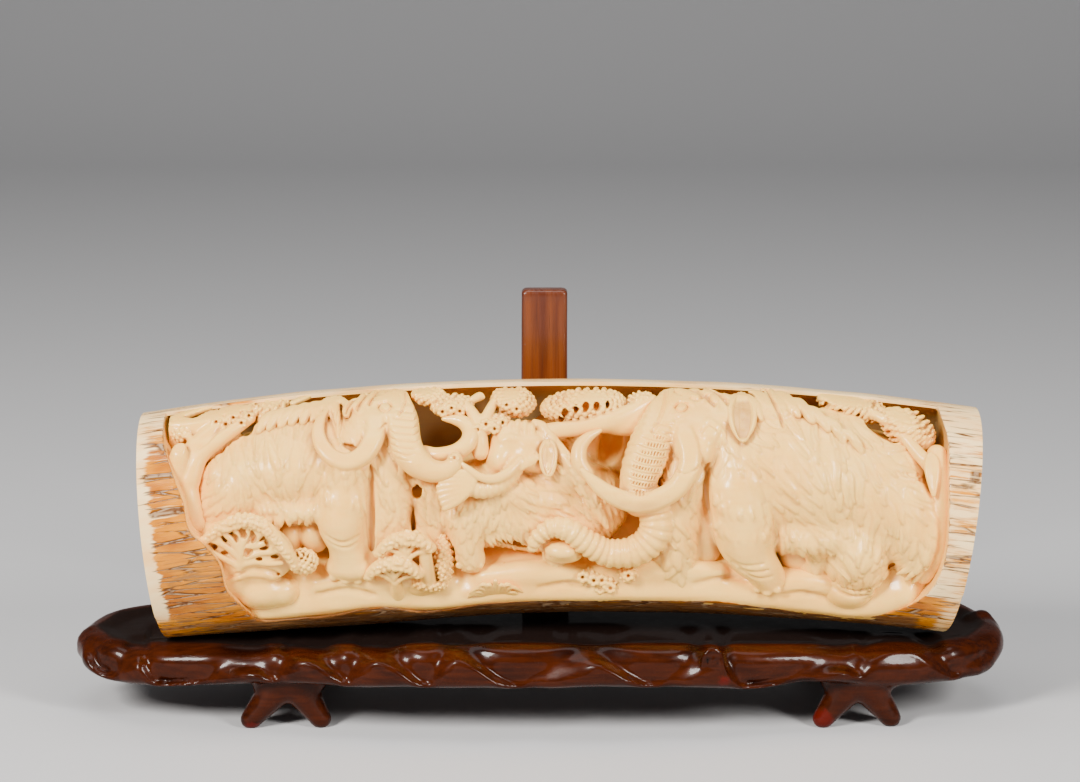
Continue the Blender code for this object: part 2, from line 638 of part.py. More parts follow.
def lower_rim():
    """The front of the rim again, lowered towards the middle to make its section taller."""
    points = []
    for x, y, z, radius in BASE_RIM:
        if y < 0:
            points.append((x, y, z - RIM_DROP * max(0, 1 - (x / RIM_DROP_REACH) ** 2), radius))
    return points


def make_base(parts, cutters, tusk_clearance, post_clearance):
    ring = BASE_RIM + BASE_RIM[:2]
    pieces = [tray(cutters), tube("rim", smooth_path(ring), cutters)]
    pieces.append(tube("lower_rim", smooth_path(lower_rim()), cutters))
    for name, points in RIM_FOLDS + (RIGHT_KNOB,):
        pieces.append(tube(name, smooth_path(points), cutters))
    for number, (top, left, right) in enumerate(FEET):
        pieces += forked_foot(number, top, left, right, cutters)
    base = fused(joined("stand_base", pieces, parts), STAND_VOXEL, soften=4)
    thinned(base, STAND_TRIANGLES)

    work = bmesh.new()
    bmesh.ops.create_cube(work, size=1.0)
    floor = Matrix.Translation((0, 0, -20.0)) @ Matrix.Diagonal((600, 300, 40, 1))
    bmesh.ops.transform(work, matrix=floor, verts=work.verts)
    mesh = bpy.data.meshes.new("floor_cutter")
    work.to_mesh(mesh)
    work.free()
    floor_cutter = mesh_object("floor_cutter", mesh, cutters)
    boolean(base, floor_cutter, "DIFFERENCE")
    boolean(base, tusk_clearance, "DIFFERENCE")
    boolean(base, post_clearance, "DIFFERENCE")
    discard(floor_cutter, tusk_clearance, post_clearance)
    base.data.materials.clear()
    base.data.materials.append(material("lacquered_wood", (0.10, 0.022, 0.010), 0.22, coat=0.6))
    return largest_body(base)


def post_block(name, collection, grow=0.0):
    """The upright, narrower towards its rounded top."""
    work = bmesh.new()
    bmesh.ops.create_cube(work, size=1.0)
    width, thickness = POST_WIDTH + 2 * grow, POST_THICKNESS + 2 * grow
    top, foot = POST_TOP + grow, POST_FOOT - grow
    middle = (POST_X, POST_FRONT_Y + POST_THICKNESS / 2, (top + foot) / 2)
    block = Matrix.Translation(middle) @ Matrix.Diagonal((width, thickness, top - foot, 1))
    bmesh.ops.transform(work, matrix=block, verts=work.verts)
    for vert in work.verts:
        if vert.co.z > middle[2]:
            vert.co.x = POST_X + (vert.co.x - POST_X) * POST_TAPER
    mesh = bpy.data.meshes.new(name)
    work.to_mesh(mesh)
    work.free()
    return mesh_object(name, mesh, collection)


def make_post(parts):
    post = post_block("stand_post", parts)
    bevel = post.modifiers.new("rounded_edges", "BEVEL")
    bevel.width = POST_EDGE
    bevel.segments = 3
    baked(post)
    post.data.materials.append(material("lacquered_wood_post", (0.26, 0.075, 0.025), 0.3, coat=0.5))
    return post


# ================================================================ the whole object
def main():
    clear_scene()
    parts = new_collection("carved_mammoth_tusk")
    cutters = new_collection("cutters", hidden=True)
    tusk = make_tusk(parts, cutters)
    tusk_clearance = log_solid("tusk_clearance", cutters, top_wall=-CLEARANCE, back_wall=-CLEARANCE)
    post_clearance = post_block("post_clearance", cutters, grow=CLEARANCE)
    base = make_base(parts, cutters, tusk_clearance, post_clearance)
    post = make_post(parts)
    for made in (tusk, base, post):
        made.data.transform(Matrix.Scale(MM, 4))
        made.data.shade_smooth()
        made.data.set_sharp_from_angle(angle=math.radians(40))


main()
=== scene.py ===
"""Looks of the carved mammoth tusk and its lacquered stand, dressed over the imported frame.

The carving is modelled as clay: each figure is a block of signed distances in millimetres,
built from ellipsoids and tapering limbs, skinned into a mesh, and then combed with locks of
fur. Lengths are in millimetres until a mesh is made; X runs along the tusk and the carved
front faces -Y.
"""

import math
from collections import namedtuple
from contextlib import contextmanager

import bmesh
import bpy
import numpy as np
from mathutils import Matrix, Vector


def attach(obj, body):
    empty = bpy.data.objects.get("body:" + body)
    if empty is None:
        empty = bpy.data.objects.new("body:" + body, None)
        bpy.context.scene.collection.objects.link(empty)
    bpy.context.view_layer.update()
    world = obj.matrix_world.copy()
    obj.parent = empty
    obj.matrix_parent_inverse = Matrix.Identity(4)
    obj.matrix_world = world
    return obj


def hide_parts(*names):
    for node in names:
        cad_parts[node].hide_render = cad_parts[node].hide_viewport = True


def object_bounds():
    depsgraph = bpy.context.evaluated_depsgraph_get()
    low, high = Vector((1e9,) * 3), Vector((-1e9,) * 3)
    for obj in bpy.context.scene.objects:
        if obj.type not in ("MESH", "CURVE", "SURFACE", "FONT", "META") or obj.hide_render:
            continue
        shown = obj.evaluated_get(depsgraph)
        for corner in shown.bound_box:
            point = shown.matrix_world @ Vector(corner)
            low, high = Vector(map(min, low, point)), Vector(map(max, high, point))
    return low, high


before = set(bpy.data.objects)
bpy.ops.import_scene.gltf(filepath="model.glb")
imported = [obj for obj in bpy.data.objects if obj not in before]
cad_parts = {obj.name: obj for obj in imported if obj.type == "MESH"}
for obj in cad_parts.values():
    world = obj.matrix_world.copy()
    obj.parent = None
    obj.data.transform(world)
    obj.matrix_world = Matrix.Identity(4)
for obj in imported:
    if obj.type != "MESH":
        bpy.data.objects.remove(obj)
CAD_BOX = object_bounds()
MM = 0.001
FAR = 20.0  # distance that stands for "nothing near"

# ---------------------------------------------------------------- the photograph's view
IMAGE_WIDTH = 1080
VIEW_DISTANCE = 1700.0
VIEW_ELEVATION = math.radians(12.0)
VIEW_TARGET_HEIGHT = 178.0
MM_PER_PIXEL = 0.55  # at the middle of the object
SENSOR_WIDTH = 36.0

# ---------------------------------------------------------------- tusk log
CROWN_X, CROWN_Y, CROWN_Z = 9.5, -13.0, 122.4  # centre of the section where the arch is highest
ARCH_RADIUS = 1590.0
ARCH_LEAN = 0.0066
LOG_HALF_LENGTH = 222.0
LOG_HALF_HEIGHT = 64.6
LOG_END_TAPER = 1.6
LOG_HALF_DEPTH = 58.0
LOG_SWELL, LOG_SWELL_X, LOG_SWELL_REACH = 3.6, -105.0, 80.0
LEFT_CUT_EASE, LEFT_CUT_REACH = 0.05, 60.0
TOP_WALL, BACK_WALL = 2.0, 31.0
TOP_EDGE_Y = -17.0
BACK_Y = CROWN_Y + LOG_HALF_DEPTH - BACK_WALL  # the trough's back wall
CARVING_INSET, SURFACE_INSET = 0.4, 0.15  # how far under the bark forms and points are kept

# ---------------------------------------------------------------- clay
SKIN_REACH = 2.5  # how far past its surface a form still changes the clay
CLEARED_HEIGHT = 22.0  # the figures are freed from the wall this far down from the log's top
FINE_TO_Y = -26.0  # the clay is finely divided in front of this
MARKED_DEPTH = 9.0  # marks are engraved in what lies less than this behind the bark's front
PRICK_SPACING = 1.75
GOLDEN_ANGLE = 2.399963
CORNERS = [(i, j, k) for i in (0, 1) for j in (0, 1) for k in (0, 1)]
EVERYWHERE = np.s_[:, :, :]

RNG = np.random.default_rng(7)


# ================================================================ the log's own shape
def log_centre(x):
    along = x - CROWN_X
    return CROWN_Z + along * ARCH_LEAN - along * along / (2 * ARCH_RADIUS)


def log_half_height(x):
    return LOG_HALF_HEIGHT - LOG_END_TAPER * ((x - CROWN_X) / LOG_HALF_LENGTH) ** 2


def bark_front(x, z):
    """Y of the log's front surface at this X and Z."""
    height = np.clip((z - log_centre(x)) / log_half_height(x), -0.995, 0.995)
    return CROWN_Y - LOG_HALF_DEPTH * np.sqrt(1 - height * height)


def outside_log(x, y, z, inset):
    """Roughly how far a point stands out of the log."""
    across = (y - CROWN_Y) / (LOG_HALF_DEPTH - inset)
    up = (z - log_centre(x)) / (log_half_height(x) - inset)
    return (np.sqrt(across * across + up * up) - 1) * (LOG_HALF_DEPTH - inset)


# ================================================================ numbers that look natural
def smooth_path(points, steps=5):
    """Catmull-Rom points through the given ones."""
    rows = np.array([points[0], *points, points[-1]], float)
    path = []
    for a, b, c, d in zip(rows, rows[1:], rows[2:], rows[3:]):
        for t in np.arange(steps) / steps:
            path.append(0.5 * (2 * b + (c - a) * t + (2 * a - 5 * b + 4 * c - d) * t * t
                               + (3 * b - a - 3 * c + d) * t ** 3))
    path.append(rows[-1])
    return np.array(path)


def smooth_step(value):
    value = np.clip(value, 0, 1)
    return value * value * (3 - 2 * value)


def lattice_value(i, j, k, seed):
    """A repeatable number from 0 to 1 for each lattice point."""
    mixed = (i * 374761393 + j * 668265263 + k * 2147483647 + seed * 144269) & 0xFFFFFFFF
    mixed = ((mixed ^ (mixed >> 13)) * 1274126177) & 0xFFFFFFFF
    return ((mixed ^ (mixed >> 16)) & 0xFFFF) / 65535.0


def spread(x, y, z):
    """Three axes laid out so that they make a grid together."""
    return x[:, None, None], y[None, :, None], z[None, None, :]


def corner_share(corner, parts):
    """How much a cell's corner counts for places this far across the cell."""
    x, y, z = (part if side else 1 - part for side, part in zip(corner, parts))
    return x * y * z


def noise(points, size, seed=0):
    """Smooth noise from -1 to 1 over points, with lumps of the given size."""
    scaled = np.asarray(points, float) / size
    base = np.floor(scaled).astype(np.int64)
    parts = smooth_step(scaled - base).T
    total = np.zeros(len(scaled))
    for corner in CORNERS:
        total += corner_share(corner, parts) * lattice_value(*(base + corner).T, seed)
    return total * 2 - 1


# ================================================================ clay
class Clay:
    """A block of clay: signed distance to its surface, and how furry it is, on a grid."""

    def __init__(self, xs, ys, zs):
        self.axes = [np.asarray(axis, np.float32) for axis in (xs, ys, zs)]
        shape = tuple(len(axis) for axis in self.axes)
        self.solid = np.full(shape, FAR, np.float32)
        self.coat = np.zeros(shape, np.float32)

    def window(self, low, high):
        """The part of the grid between two corners, and its axes spread out."""
        cuts = tuple(
            slice(max(0, int(np.searchsorted(axis, a)) - 1), int(np.searchsorted(axis, b)) + 1)
            for axis, a, b in zip(self.axes, low, high)
        )
        return cuts, *spread(*(axis[cut] for axis, cut in zip(self.axes, cuts)))

    def add(self, where, distance, blend, coat):
        old = self.solid[where]
        share = np.clip(0.5 + 0.5 * (old - distance) / blend, 0, 1)
        self.solid[where] = old + (distance - old) * share - blend * share * (1 - share)
        self.coat[where] += (coat - self.coat[where]) * share

    def cut(self, where, distance, blend):
        old = self.solid[where]
        share = np.clip(0.5 + 0.5 * (-distance - old) / blend, 0, 1)
        self.solid[where] = old + (-distance - old) * share + blend * share * (1 - share)

    def press(self, where, distance, blend, coat, cut):
        """Adds a form to the clay, or cuts it away."""
        if cut:
            self.cut(where, distance, blend)
        else:
            self.add(where, distance, blend, coat)

    def ball(self, centre, half, lean=0.0, blend=3.0, coat=0.0, cut=False):
        """An ellipsoid. Half sizes are in X, Z and Y, and it leans about Y, in degrees."""
        turn = math.radians(lean)
        c, s = math.cos(turn), math.sin(turn)
        margin = blend + SKIN_REACH
        reach_x = math.hypot(half[0] * c, half[1] * s) + margin
        reach_z = math.hypot(half[0] * s, half[1] * c) + margin
        reach = np.array((reach_x, half[2] + margin, reach_z))
        where, x, y, z = self.window(centre - reach, centre + reach)
        dx, dy, dz = x - centre[0], y - centre[1], z - centre[2]
        along, up = dx * c + dz * s, dz * c - dx * s
        squared = (along / half[0]) ** 2 + (dy / half[2]) ** 2 + (up / half[1]) ** 2
        slope = ((along / half[0] ** 2) ** 2 + (dy / half[2] ** 2) ** 2
                 + (up / half[1] ** 2) ** 2)
        near = np.sqrt(squared)
        self.press(where, near * (near - 1) / np.sqrt(slope + 1e-9), blend, coat, cut)

    def limb(self, path, blend=2.0, coat=0.0, rings=None, cut=False):
        """A tapering run through X, Y, Z and radius. Rings are a period and a depth."""
        margin = blend + SKIN_REACH
        widest = float(path[:, 3].max()) + margin
        low, high = path[:, :3].min(0) - widest, path[:, :3].max(0) + widest
        where, x, y, z = self.window(low, high)
        distance = np.full(np.broadcast_shapes(x.shape, y.shape, z.shape), FAR, np.float32)
        travel = np.zeros_like(distance)
        run = 0.0
        for start, end in zip(path, path[1:]):
            step = end - start
            length = float(np.linalg.norm(step[:3])) + 1e-6
            around = max(start[3], end[3]) + margin
            part, px, py, pz = self.window(np.minimum(start, end)[:3] - around,
                                           np.maximum(start, end)[:3] + around)
            inner = tuple(slice(p.start - w.start, p.stop - w.start)
                          for p, w in zip(part, where))
            dx, dy, dz = px - start[0], py - start[1], pz - start[2]
            share = np.clip((dx * step[0] + dy * step[1] + dz * step[2]) / length ** 2, 0, 1)
            gap = np.sqrt((dx - share * step[0]) ** 2 + (dy - share * step[1]) ** 2
                          + (dz - share * step[2]) ** 2)
            gap = gap - (start[3] + share * step[3])
            nearer = gap < distance[inner]
            distance[inner] = np.where(nearer, gap, distance[inner])
            if rings:
                travel[inner] = np.where(nearer, run + share * length, travel[inner])
            run += length
        if rings:
            wave = 0.5 + 0.5 * np.cos(travel * (2 * math.pi / rings[0]))
            distance += rings[1] * wave ** 1.6
        self.press(where, distance, blend, coat, cut)

    def keep_in_log(self, inset=CARVING_INSET, blend=0.8):
        """Shaves off what stands less than the inset under the bark."""
        out = outside_log(*spread(*self.axes), inset)
        self.cut(EVERYWHERE, -out.astype(np.float32), blend)

    def clear_wall(self, gap):
        """Frees the tops of the figures from the wall behind the trough's upper edge."""
        x, y, z = spread(*self.axes)
        wave = gap * (1 + 0.32 * np.sin(x / 5.3) + 0.22 * np.sin(x / 2.3 + 1))
        top = log_centre(x) + log_half_height(x)
        gone = np.maximum(TOP_EDGE_Y - wave - y, top - CLEARED_HEIGHT - z)
        self.cut(EVERYWHERE, gone.astype(np.float32), 2.0)

    def mass(self, x, z, depth, half, lean=0.0, blend=6.0, coat=1.0):
        """An ellipsoid whose front lies this deep under the bark. Half sizes are X, Z, Y."""
        centre = np.array((x, bark_front(x, z) + depth + half[2], z))
        self.ball(centre, half, lean, blend, coat)

    def branch(self, *points, blend=4.0, coat=0.0, rings=None):
        """A limb through points of X, Z, depth under the bark and radius."""
        self.limb(relief_path(points), blend, coat, rings)

    def on_face(self, x, z, sink=0.0):
        """The point where the clay's front stands at this X and Z."""
        i = int(np.clip(np.searchsorted(self.axes[0], x), 0, len(self.axes[0]) - 1))
        k = int(np.clip(np.searchsorted(self.axes[2], z), 0, len(self.axes[2]) - 1))
        filled = np.nonzero(self.solid[i, :, k] < 0)[0]
        y = float(self.axes[1][filled[0]]) if len(filled) else float(bark_front(x, z) + 10)
        return np.array((x, y + sink, z))

    def spot(self, x, z, half, sink, blend, cut=False):
        """A small ball, or a pit, on the face of the clay."""
        self.ball(self.on_face(x, z, sink), half, 0.0, blend, cut=cut)

    def toes(self, half, *places):
        for x, z in places:
            self.spot(x, z, half, 0.2, 0.4)

    def line(self, points, radius, sink=0.0, blend=1.0, coat=0.0, cut=False, taper=0.5):
        """A ridge or groove drawn on the face of the clay through points of X and Z."""
        flat = smooth_path(points, 4)
        seats = np.array([self.on_face(x, z, sink) for x, z in flat])
        swell = np.sin(np.linspace(0.08, 0.92, len(flat)) * math.pi) ** taper
        self.limb(np.column_stack((seats, radius * swell)), blend, coat, None, cut)

    def hole(self, x, z, half, depth, lean=0.0, blend=0.8):
        """A hole bored from the face."""
        centre = self.on_face(x, z, depth * 0.55)
        self.ball(centre, (half[0], half[1], depth), lean, blend, cut=True)

    def sample(self, grid, points):
        """Trilinear values of one of the grids at points in millimetres."""
        index, parts = [], []
        for axis, values in zip(self.axes, points.T):
            i = np.clip(np.searchsorted(axis, values) - 1, 0, len(axis) - 2)
            index.append(i)
            parts.append(np.clip((values - axis[i]) / (axis[i + 1] - axis[i]), 0, 1))
        total = np.zeros(len(points), np.float32)
        for corner in CORNERS:
            total += corner_share(corner, parts) * grid[tuple(i + c for i, c in zip(index, corner))]
        return total

    def skin(self):
        """Points and four-sided faces of the surface, by surface nets."""
        inside = self.solid < 0
        count = np.zeros(tuple(n - 1 for n in inside.shape), np.int8)
        for corner in CORNERS:
            count += inside[tuple(slice(c, n - 1 + c) for c, n in zip(corner, inside.shape))]
        mixed = (count > 0) & (count < 8)
        cells = np.argwhere(mixed)
        number = np.full(mixed.shape, -1, np.int32)
        number[mixed] = np.arange(len(cells), dtype=np.int32)
        value = {corner: self.solid[tuple((cells + corner).T)] for corner in CORNERS}
        total = np.zeros((len(cells), 3), np.float64)
        crossings = np.zeros(len(cells))
        for axis in range(3):
            for first in CORNERS:
                if first[axis]:
                    continue
                second = tuple(c + (n == axis) for n, c in enumerate(first))
                a, b = value[first], value[second]
                crosses = (a < 0) != (b < 0)
                share = np.where(crosses, a / np.where(crosses, a - b, 1), 0)
                point = np.tile(np.array(first, float), (len(cells), 1))
                point[:, axis] += share
                total += point * crosses[:, None]
                crossings += crosses
        spot = cells + total / crossings[:, None]
        points = np.stack([np.interp(spot[:, n], np.arange(len(axis)), axis)
                           for n, axis in enumerate(self.axes)], axis=1)
        return points, np.concatenate([self.faces_across(axis, inside, number) for axis in range(3)])

    def faces_across(self, axis, inside, number):
        """The surface's faces that look along one axis, both ways."""
        others = [n for n in range(3) if n != axis]
        low = [slice(1, -1)] * 3
        low[axis] = slice(0, -1)
        high = list(low)
        high[axis] = slice(1, None)
        starts, ends = inside[tuple(low)], inside[tuple(high)]
        faces = []
        for flips, mask in ((False, starts & ~ends), (True, ~starts & ends)):
            spots = np.argwhere(mask)
            for n in others:
                spots[:, n] += 1
            corners = []
            for p, q in ((0, 0), (1, 0), (1, 1), (0, 1)):
                cell = spots.copy()
                cell[:, others[0]] -= p
                cell[:, others[1]] -= q
                corners.append(number[tuple(cell.T)])
            quad = np.stack(corners, axis=1)
            faces.append(quad[:, ::-1] if flips ^ (axis == 1) else quad)
        return np.concatenate(faces)


# ================================================================ meshes
def point_normals(points, faces):
    diagonal = points[faces[:, 2]] - points[faces[:, 0]]
    other = points[faces[:, 3]] - points[faces[:, 1]]
    face_normals = np.cross(diagonal, other)
    total = np.zeros_like(points)
    for axis in range(3):
        for corner in range(4):
            total[:, axis] += np.bincount(faces[:, corner], face_normals[:, axis], len(points))
    return total / (np.linalg.norm(total, axis=1, keepdims=True) + 1e-12)


def linked(name, data):
    """A new object in the scene."""
    made = bpy.data.objects.new(name, data)
    bpy.context.scene.collection.objects.link(made)
    return made


@contextmanager
def edited(mesh):
    """The mesh opened for editing, and written back at the end."""
    work = bmesh.new()
    work.from_mesh(mesh)
    yield work
    work.to_mesh(mesh)
    work.free()


def vectors_of(source, label):
    """One vector for each of the mesh's elements, read from it."""
    values = np.empty(len(source) * 3, np.float32)
    source.foreach_get(label, values)
    return values.reshape(-1, 3).astype(float)


def add_attributes(mesh, attributes):
    """Numbers or vectors stored on the mesh's points for the materials."""
    for label, values in attributes.items():
        kind, field = ("FLOAT", "value") if values.ndim == 1 else ("FLOAT_VECTOR", "vector")
        layer = mesh.attributes.new(label, kind, "POINT")
        layer.data.foreach_set(field, values.astype(np.float32).ravel())


def mesh_object(name, points, faces, material=None, **attributes):
    """An object from points in millimetres and four-sided faces, with its point attributes."""
    mesh = bpy.data.meshes.new(name)
    mesh.vertices.add(len(points))
    mesh.vertices.foreach_set("co", (np.asarray(points) * MM).astype(np.float32).ravel())
    mesh.loops.add(faces.size)
    mesh.loops.foreach_set("vertex_index", np.ascontiguousarray(faces, np.int32).ravel())
    mesh.polygons.add(len(faces))
    mesh.polygons.foreach_set("loop_start", np.arange(0, faces.size, 4, dtype=np.int32))
    add_attributes(mesh, attributes)
    mesh.update(calc_edges=True)
    mesh.shade_smooth()
    if material:
        mesh.materials.append(material)
    return linked(name, mesh)


def close_holes(obj):
    with edited(obj.data) as work:
        rims = [edge for edge in work.edges if edge.is_boundary]
        bmesh.ops.holes_fill(work, edges=rims, sides=0)
        bmesh.ops.recalc_face_normals(work, faces=work.faces)


def thin_out(obj, triangles):
    """Merges faces where the surface is plain, down to about this many triangles."""
    have = sum(len(face.vertices) - 2 for face in obj.data.polygons)
    if have <= triangles:
        return
    change = obj.modifiers.new("thin", "DECIMATE")
    change.ratio = triangles / have
    bake(obj)


def bake(obj):
    """Applies the object's modifiers."""
    graph = bpy.context.evaluated_depsgraph_get()
    graph.update()
    mesh = bpy.data.meshes.new_from_object(obj.evaluated_get(graph))
    obj.modifiers.clear()
    obj.data = mesh


# ================================================================ placing figures in the relief
def relief_path(points, steps=5):
    """X, Y, Z and radius along points of X, Z, depth under the bark and radius."""
    path = smooth_path(points, steps)
    y = bark_front(path[:, 0], path[:, 1]) + path[:, 2] + path[:, 3]
    return np.stack((path[:, 0], y, path[:, 1], path[:, 3]), axis=1)


def oval_patch(x, z, half, turn, lean, edge):
    """What measures a turned oval: places along and across it, and how far inside they are."""
    cosine, sine = math.cos(math.radians(turn)), math.sin(math.radians(turn))

    def measured(px, pz):
        along = (pz - z) * cosine - (px - x) * sine
        across = (px - x) * cosine + (pz - z) * sine - lean * along
        inside = smooth_step((1 - np.hypot(across / half[0], along / half[1])) * edge)
        return along, across, inside

    return measured


def folds_mark(x, z, half, turn, spacing, depth, lean=0.0, bow=0.0):
    """Rounded folds side by side in an oval patch, parted by sharp grooves."""
    measured = oval_patch(x, z, half, turn, lean, 3)

    def height(px, pz):
        along, across, inside = measured(px, pz)
        phase = (along + bow * across ** 2) / spacing
        return -depth * inside * (1 - np.abs(np.sin(math.pi * phase)) ** 0.6)

    return x, z, max(half), height


def pricks_mark(x, z, half, turn, spacing, depth, lean):
    """Rows of tiny upright pricks, one row along the middle of each fold."""
    measured = oval_patch(x, z, half, turn, lean, 5)

    def height(px, pz):
        along, across, inside = measured(px, pz)
        row = ((along / spacing) % 1 - 0.5) * spacing
        column = ((across / PRICK_SPACING) % 1 - 0.5) * PRICK_SPACING
        return -depth * inside * np.exp(-(column / 0.5) ** 2 - (row / 1.0) ** 4)

    return x, z, max(half), height


def eye_mark(x, z, turn, size, tilt=0.0):
    """An almond eye in a cut outline, under a full brow. turn is +1 facing left."""
    cosine, sine = math.cos(math.radians(tilt)), math.sin(math.radians(tilt))

    def height(px, pz):
        dx, dz = (px - x) * turn / size, (pz - z) / size
        a, b = dx * cosine + dz * sine, dz * cosine - dx * sine
        almond = (np.abs(a / 3.1) ** 1.5 + np.abs(b / 1.9) ** 1.5) ** (1 / 1.5)
        ball = 0.9 * np.sqrt(np.clip(1 - almond ** 2, 0, 1))
        outline = -1.3 * np.exp(-((almond - 1.05) / 0.24) ** 2) * (1 + 0.25 * np.sign(b))
        brow = 1.5 * np.exp(-((b - 3.6 + 0.05 * (a + 0.5) ** 2) / 1.5) ** 2)
        brow = brow * smooth_step((8.0 - np.abs(a + 0.5)) / 4.0)
        bag = 0.7 * np.exp(-((b + 3.2) / 1.2) ** 2 - (a / 3.6) ** 2)
        return size * (ball + outline + brow + bag)

    return x, z, 9.5 * size, height


def stroke_mark(points, width, depth):
    """A groove drawn through X, Z points, with a slight lip on either side."""
    line = smooth_path(points, 6)
    middle = line.mean(axis=0)
    reach = float(np.linalg.norm(line - middle, axis=1).max()) + 3 * width

    def height(px, pz):
        away = np.full(len(px), FAR)
        for start, end in zip(line, line[1:]):
            run = end - start
            share = ((px - start[0]) * run[0] + (pz - start[1]) * run[1]) / (run @ run + 1e-9)
            share = np.clip(share, 0, 1)
            gap = np.hypot(px - start[0] - share * run[0], pz - start[1] - share * run[1])
            away = np.minimum(away, gap)
        lip = 0.3 * np.exp(-((away - 1.9 * width) / width) ** 2)
        return depth * (lip - np.exp(-(away / width) ** 2))

    return middle[0], middle[1], reach, height


def dish_mark(x, z, half, lean, depth, rim):
    """A leaf-shaped hollow, pointed below, inside a raised rim."""

    def height(px, pz):
        up = np.clip((pz - z) / half[1], -1.4, 1.4)
        aside = px - x - lean * (pz - z)
        wide = half[0] * np.sqrt(np.clip(1 - up * up, 0.0025, 1))
        wide = wide * np.clip(0.86 + 0.3 * up, 0.4, 1.05)
        share = np.maximum(np.abs(aside) / wide, np.abs(up))
        vein = 0.2 * np.exp(-((aside + 0.16 * half[0]) / 0.55) ** 2)
        raised = rim * np.exp(-((share - 1.08) / 0.16) ** 2)
        return raised - (depth + vein) * smooth_step((1 - share) * 3.4)

    return x, z, max(half) * 1.35, height


def engrave(piece, marks):
    """Refines the mesh under each mark and moves its front by the mark's height."""
    mesh = piece.data
    points = vectors_of(mesh.vertices, "co") / MM
    near = np.zeros(len(points), bool)
    for x, z, reach, _ in marks:
        near |= np.hypot(points[:, 0] - x, points[:, 2] - z) < reach
    near &= points[:, 1] < bark_front(points[:, 0], points[:, 2]) + MARKED_DEPTH
    with edited(mesh) as work:
        work.verts.ensure_lookup_table()
        edges = {edge for n in np.nonzero(near)[0] for edge in work.verts[int(n)].link_edges}
        edges = sorted(edges, key=lambda edge: edge.index)
        bmesh.ops.subdivide_edges(work, edges=edges, cuts=2, use_grid_fill=True)
    points = vectors_of(mesh.vertices, "co") / MM
    normals = vectors_of(mesh.vertex_normals, "vector")
    facing = smooth_step((0.25 - normals[:, 1]) / 0.4)
    facing *= points[:, 1] < bark_front(points[:, 0], points[:, 2]) + MARKED_DEPTH
    lift = np.zeros(len(points))
    for x, z, reach, height in marks:
        near = np.nonzero(np.hypot(points[:, 0] - x, points[:, 2] - z) < reach)[0]
        lift[near] += height(points[near, 0], points[near, 2])
    points = kept_inside(points + normals * (lift * facing)[:, None])
    mesh.vertices.foreach_set("co", (points * MM).astype(np.float32).ravel())
    # painted shade: the grooves' depth is added to the hollow attribute, which the material paints darker
    hollow = np.empty(len(points), np.float32)
    painted_shade = mesh.attributes["hollow"].data
    painted_shade.foreach_get("value", hollow)
    hollow = np.clip(hollow + 0.75 * np.clip(-lift * facing - 0.25, 0, 1), 0, 1)
    painted_shade.foreach_set("value", hollow)
    mesh.update()


def fringe(clay, points, count, length, radius, lean, coat):
    """Pointed locks rooted in the clay along a line of X, Z points, their tips standing clear."""
    line = smooth_path(points, 8)
    for n in range(count):
        at = (n + 0.5) / count * (len(line) - 1)
        x, z = line[int(at)] + (line[min(int(at) + 1, len(line) - 1)] - line[int(at)]) * (at % 1)
        reach = length * (0.75 + 0.5 * lattice_value(n, count, 1, 3))
        aside = lean + 3.0 * (lattice_value(n, count, 2, 3) - 0.5)
        root = clay.on_face(x - 0.3 * aside, z + 0.55 * reach, radius + 0.8)
        middle = clay.on_face(x + 0.2 * aside, z, radius - 0.6)
        lower = middle + np.array((0.6 * aside, -0.2, -0.35 * reach))
        tip = middle + np.array((1.2 * aside, 1.0, -0.75 * reach))
        rows = [(*root, radius * 0.8), (*middle, radius), (*lower, radius * 0.75), (*tip, radius * 0.22)]
        clay.limb(smooth_path(rows), 0.8, coat)


def leaf_ear(clay, outline, centre, depth, thick, rim):
    """An ear like a leaf: a thin dished blade inside a rolled rim."""
    ring = smooth_path([*outline, outline[0]], 4)
    y = bark_front(ring[:, 0], ring[:, 1]) + depth + rim
    clay.limb(np.column_stack((ring[:, 0], y, ring[:, 1], np.full(len(ring), rim))), 0.8)
    for share in (0.25, 0.52, 0.8):
        inner = centre + (ring - centre) * share
        y = bark_front(inner[:, 0], inner[:, 1]) + depth + thick + 1.0
        clay.limb(np.column_stack((inner[:, 0], y, inner[:, 1], np.full(len(inner), thick))), 1.5)


def golden_spiral(centre, half, lean, count, front):
    """Places spread over the front of an ellipsoid: number, share of the way across, place."""
    turn = math.radians(lean)
    for n in range(count):
        up = 1 - 2 * (n + 0.5) / count
        flat = math.sqrt(1 - up * up)
        x, y = flat * math.cos(n * GOLDEN_ANGLE), flat * math.sin(n * GOLDEN_ANGLE)
        if y <= front:
            dx, dz = x * half[0], up * half[1]
            yield n, x, centre + np.array((dx * math.cos(turn) - dz * math.sin(turn), y * half[2],
                                           dx * math.sin(turn) + dz * math.cos(turn)))


def beads(clay, centre, half, lean, bead, count):
    """Round beads spread over the front of an ellipsoid."""
    for n, _, place in golden_spiral(centre, half, lean, count, 0.35):
        size = bead * (0.82 + 0.36 * lattice_value(n, count, 3, 5))
        clay.ball(place, (size, size, size), 0, 0.35)


def beaded_mass(clay, x, z, depth, half, lean, bead, count):
    centre = np.array((x, bark_front(x, z) + depth + 1.6 * bead + half[2], z))
    clay.ball(centre, tuple(h - bead * 0.4 for h in half), lean, 1.5)
    beads(clay, centre, half, lean, bead, count)


